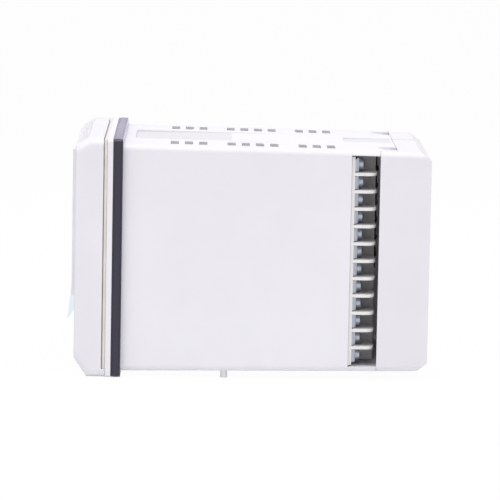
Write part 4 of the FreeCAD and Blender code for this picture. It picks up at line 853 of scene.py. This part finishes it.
# Bare printed frames, without words, that show where the parts sit: board, side, place along Y, level,
# length and width, in mm
PRINTED_FRAMES = (
    ("main", 1, 60, 24.5, 21, 16), ("main", 1, 60, -24.5, 21, 16), ("main", 1, -7.7, 0, 7, 31),
    ("main", -1, 26, 0, 20, 20), ("power", -1, 44, -5.4, 33, 37), ("power", -1, 28, 27, 17, 17),
    ("power", -1, 52, 27, 11.6, 11.6), ("power", -1, 38, -32.4, 22, 6.4), ("option", -1, 44.5, 0, 11, 41),
    ("option", 1, -7.7, 0, 7, 31))


def add_printed_frames():
    made = bmesh.new()
    sides = board_sides(made)
    for name, out, along, up, length, width in PRINTED_FRAMES:
        corners = [(along + a * length / 2, up + b * width / 2)
                   for a, b in ((-1, -1), (1, -1), (1, 1), (-1, 1), (-1, -1))]
        sides[name, out].track(corners, width=0.18, height=0.03)
    add_piece("printed_frames", made, "front_unit", "board", material=WHITE_INK, smooth=False)


add_tracks()
add_solder()
add_small_parts()
add_gold_contacts()
add_printed_frames()


# Floor, light and camera

FLOOR_SIZE = 8
GLOW_SHARE = 0.97
WORLD_STRENGTH = 0.48


def add_floor():
    # Pale paper that looks white to the camera and keeps a trace of the object's shadow.
    floor_level = cad_box[0][2]
    bpy.ops.mesh.primitive_plane_add(size=FLOOR_SIZE, location=(0, 0, floor_level))
    floor = bpy.context.object
    floor.name = "studio_floor"
    made = bpy.data.materials.new("floor_paper")
    made.use_nodes = True
    tree = made.node_tree
    tree.nodes.clear()
    paper = tree.nodes.new("ShaderNodeBsdfDiffuse")
    paper.inputs["Color"].default_value = (0.93, 0.93, 0.94, 1)
    glow = tree.nodes.new("ShaderNodeEmission")
    glow.inputs["Strength"].default_value = 1.0
    mixed = tree.nodes.new("ShaderNodeMixShader")
    output = tree.nodes.new("ShaderNodeOutputMaterial")
    seen = seen_directly(tree)
    share = tree.nodes.new("ShaderNodeMath")
    share.operation = "MULTIPLY"
    share.inputs[1].default_value = GLOW_SHARE
    tree.links.new(seen, share.inputs[0])
    tree.links.new(share.outputs["Value"], mixed.inputs["Fac"])
    tree.links.new(paper.outputs["BSDF"], mixed.inputs[1])
    tree.links.new(glow.outputs["Emission"], mixed.inputs[2])
    tree.links.new(mixed.outputs["Shader"], output.inputs["Surface"])
    floor.data.materials.append(made)


def seen_directly(tree):
    # 1 for what the camera sees, also in a reflection or through glass.
    path = tree.nodes.new("ShaderNodeLightPath")
    total = path.outputs["Is Camera Ray"]
    for other in ("Is Glossy Ray", "Is Transmission Ray"):
        joined = tree.nodes.new("ShaderNodeMath")
        joined.operation = "MAXIMUM"
        tree.links.new(total, joined.inputs[0])
        tree.links.new(path.outputs[other], joined.inputs[1])
        total = joined.outputs["Value"]
    return total


def light_world(strength):
    world = bpy.data.worlds.new("studio")
    bpy.context.scene.world = world
    world.use_nodes = True
    tree = world.node_tree
    tree.nodes.clear()
    sky = tree.nodes.new("ShaderNodeBackground")
    sky.inputs["Color"].default_value = (1, 1, 1, 1)
    output = tree.nodes.new("ShaderNodeOutputWorld")
    tree.links.new(spread(tree, seen_directly(tree), strength, 1.0), sky.inputs["Strength"])
    tree.links.new(sky.outputs["Background"], output.inputs["Surface"])


def add_softbox(name, place, target, width, height, power):
    data = bpy.data.lights.new(name, "AREA")
    data.shape = "RECTANGLE"
    data.size = width
    data.size_y = height
    data.energy = power
    lamp = bpy.data.objects.new(name, data)
    bpy.context.collection.objects.link(lamp)
    lamp.location = place
    lamp.rotation_euler = (Vector(target) - Vector(place)).to_track_quat("-Z", "Y").to_euler()


def add_camera():
    # The view that a pinhole fit to the photographed edges gives: almost square on to the right side.
    turn = math.radians(0.7654)
    rise = math.radians(7.2718)
    roll = math.radians(1.069)
    target = Vector((0, 51.73 * MM, -1.67 * MM))
    distance = 1.5
    level = math.cos(rise)
    forward = Vector((-level * math.cos(turn), level * math.sin(turn), -math.sin(rise)))
    right = forward.cross(Vector((0, 0, 1))).normalized()
    up = right.cross(forward)
    tilted_right = math.cos(roll) * right + math.sin(roll) * up
    tilted_up = math.cos(roll) * up - math.sin(roll) * right
    data = bpy.data.cameras.new("camera")
    data.lens = 261.96
    data.sensor_width = 36
    camera = bpy.data.objects.new("camera", data)
    bpy.context.collection.objects.link(camera)
    axes = Matrix((tilted_right, tilted_up, -forward)).transposed()
    camera.matrix_world = Matrix.Translation(target - forward * distance) @ axes.to_4x4()
    bpy.context.scene.camera = camera


add_floor()
light_world(WORLD_STRENGTH)
add_softbox("overhead_softbox", place=(0.35, 0.05, 1.1), target=(0, 0.05, 0), width=1.2, height=1.0,
            power=11.0)
add_softbox("camera_side_softbox", place=(1.1, -0.95, 0.45), target=(0, 0.05, 0), width=1.5, height=1.3,
            power=2.5)
add_camera()
bpy.context.scene.view_settings.view_transform = "Standard"
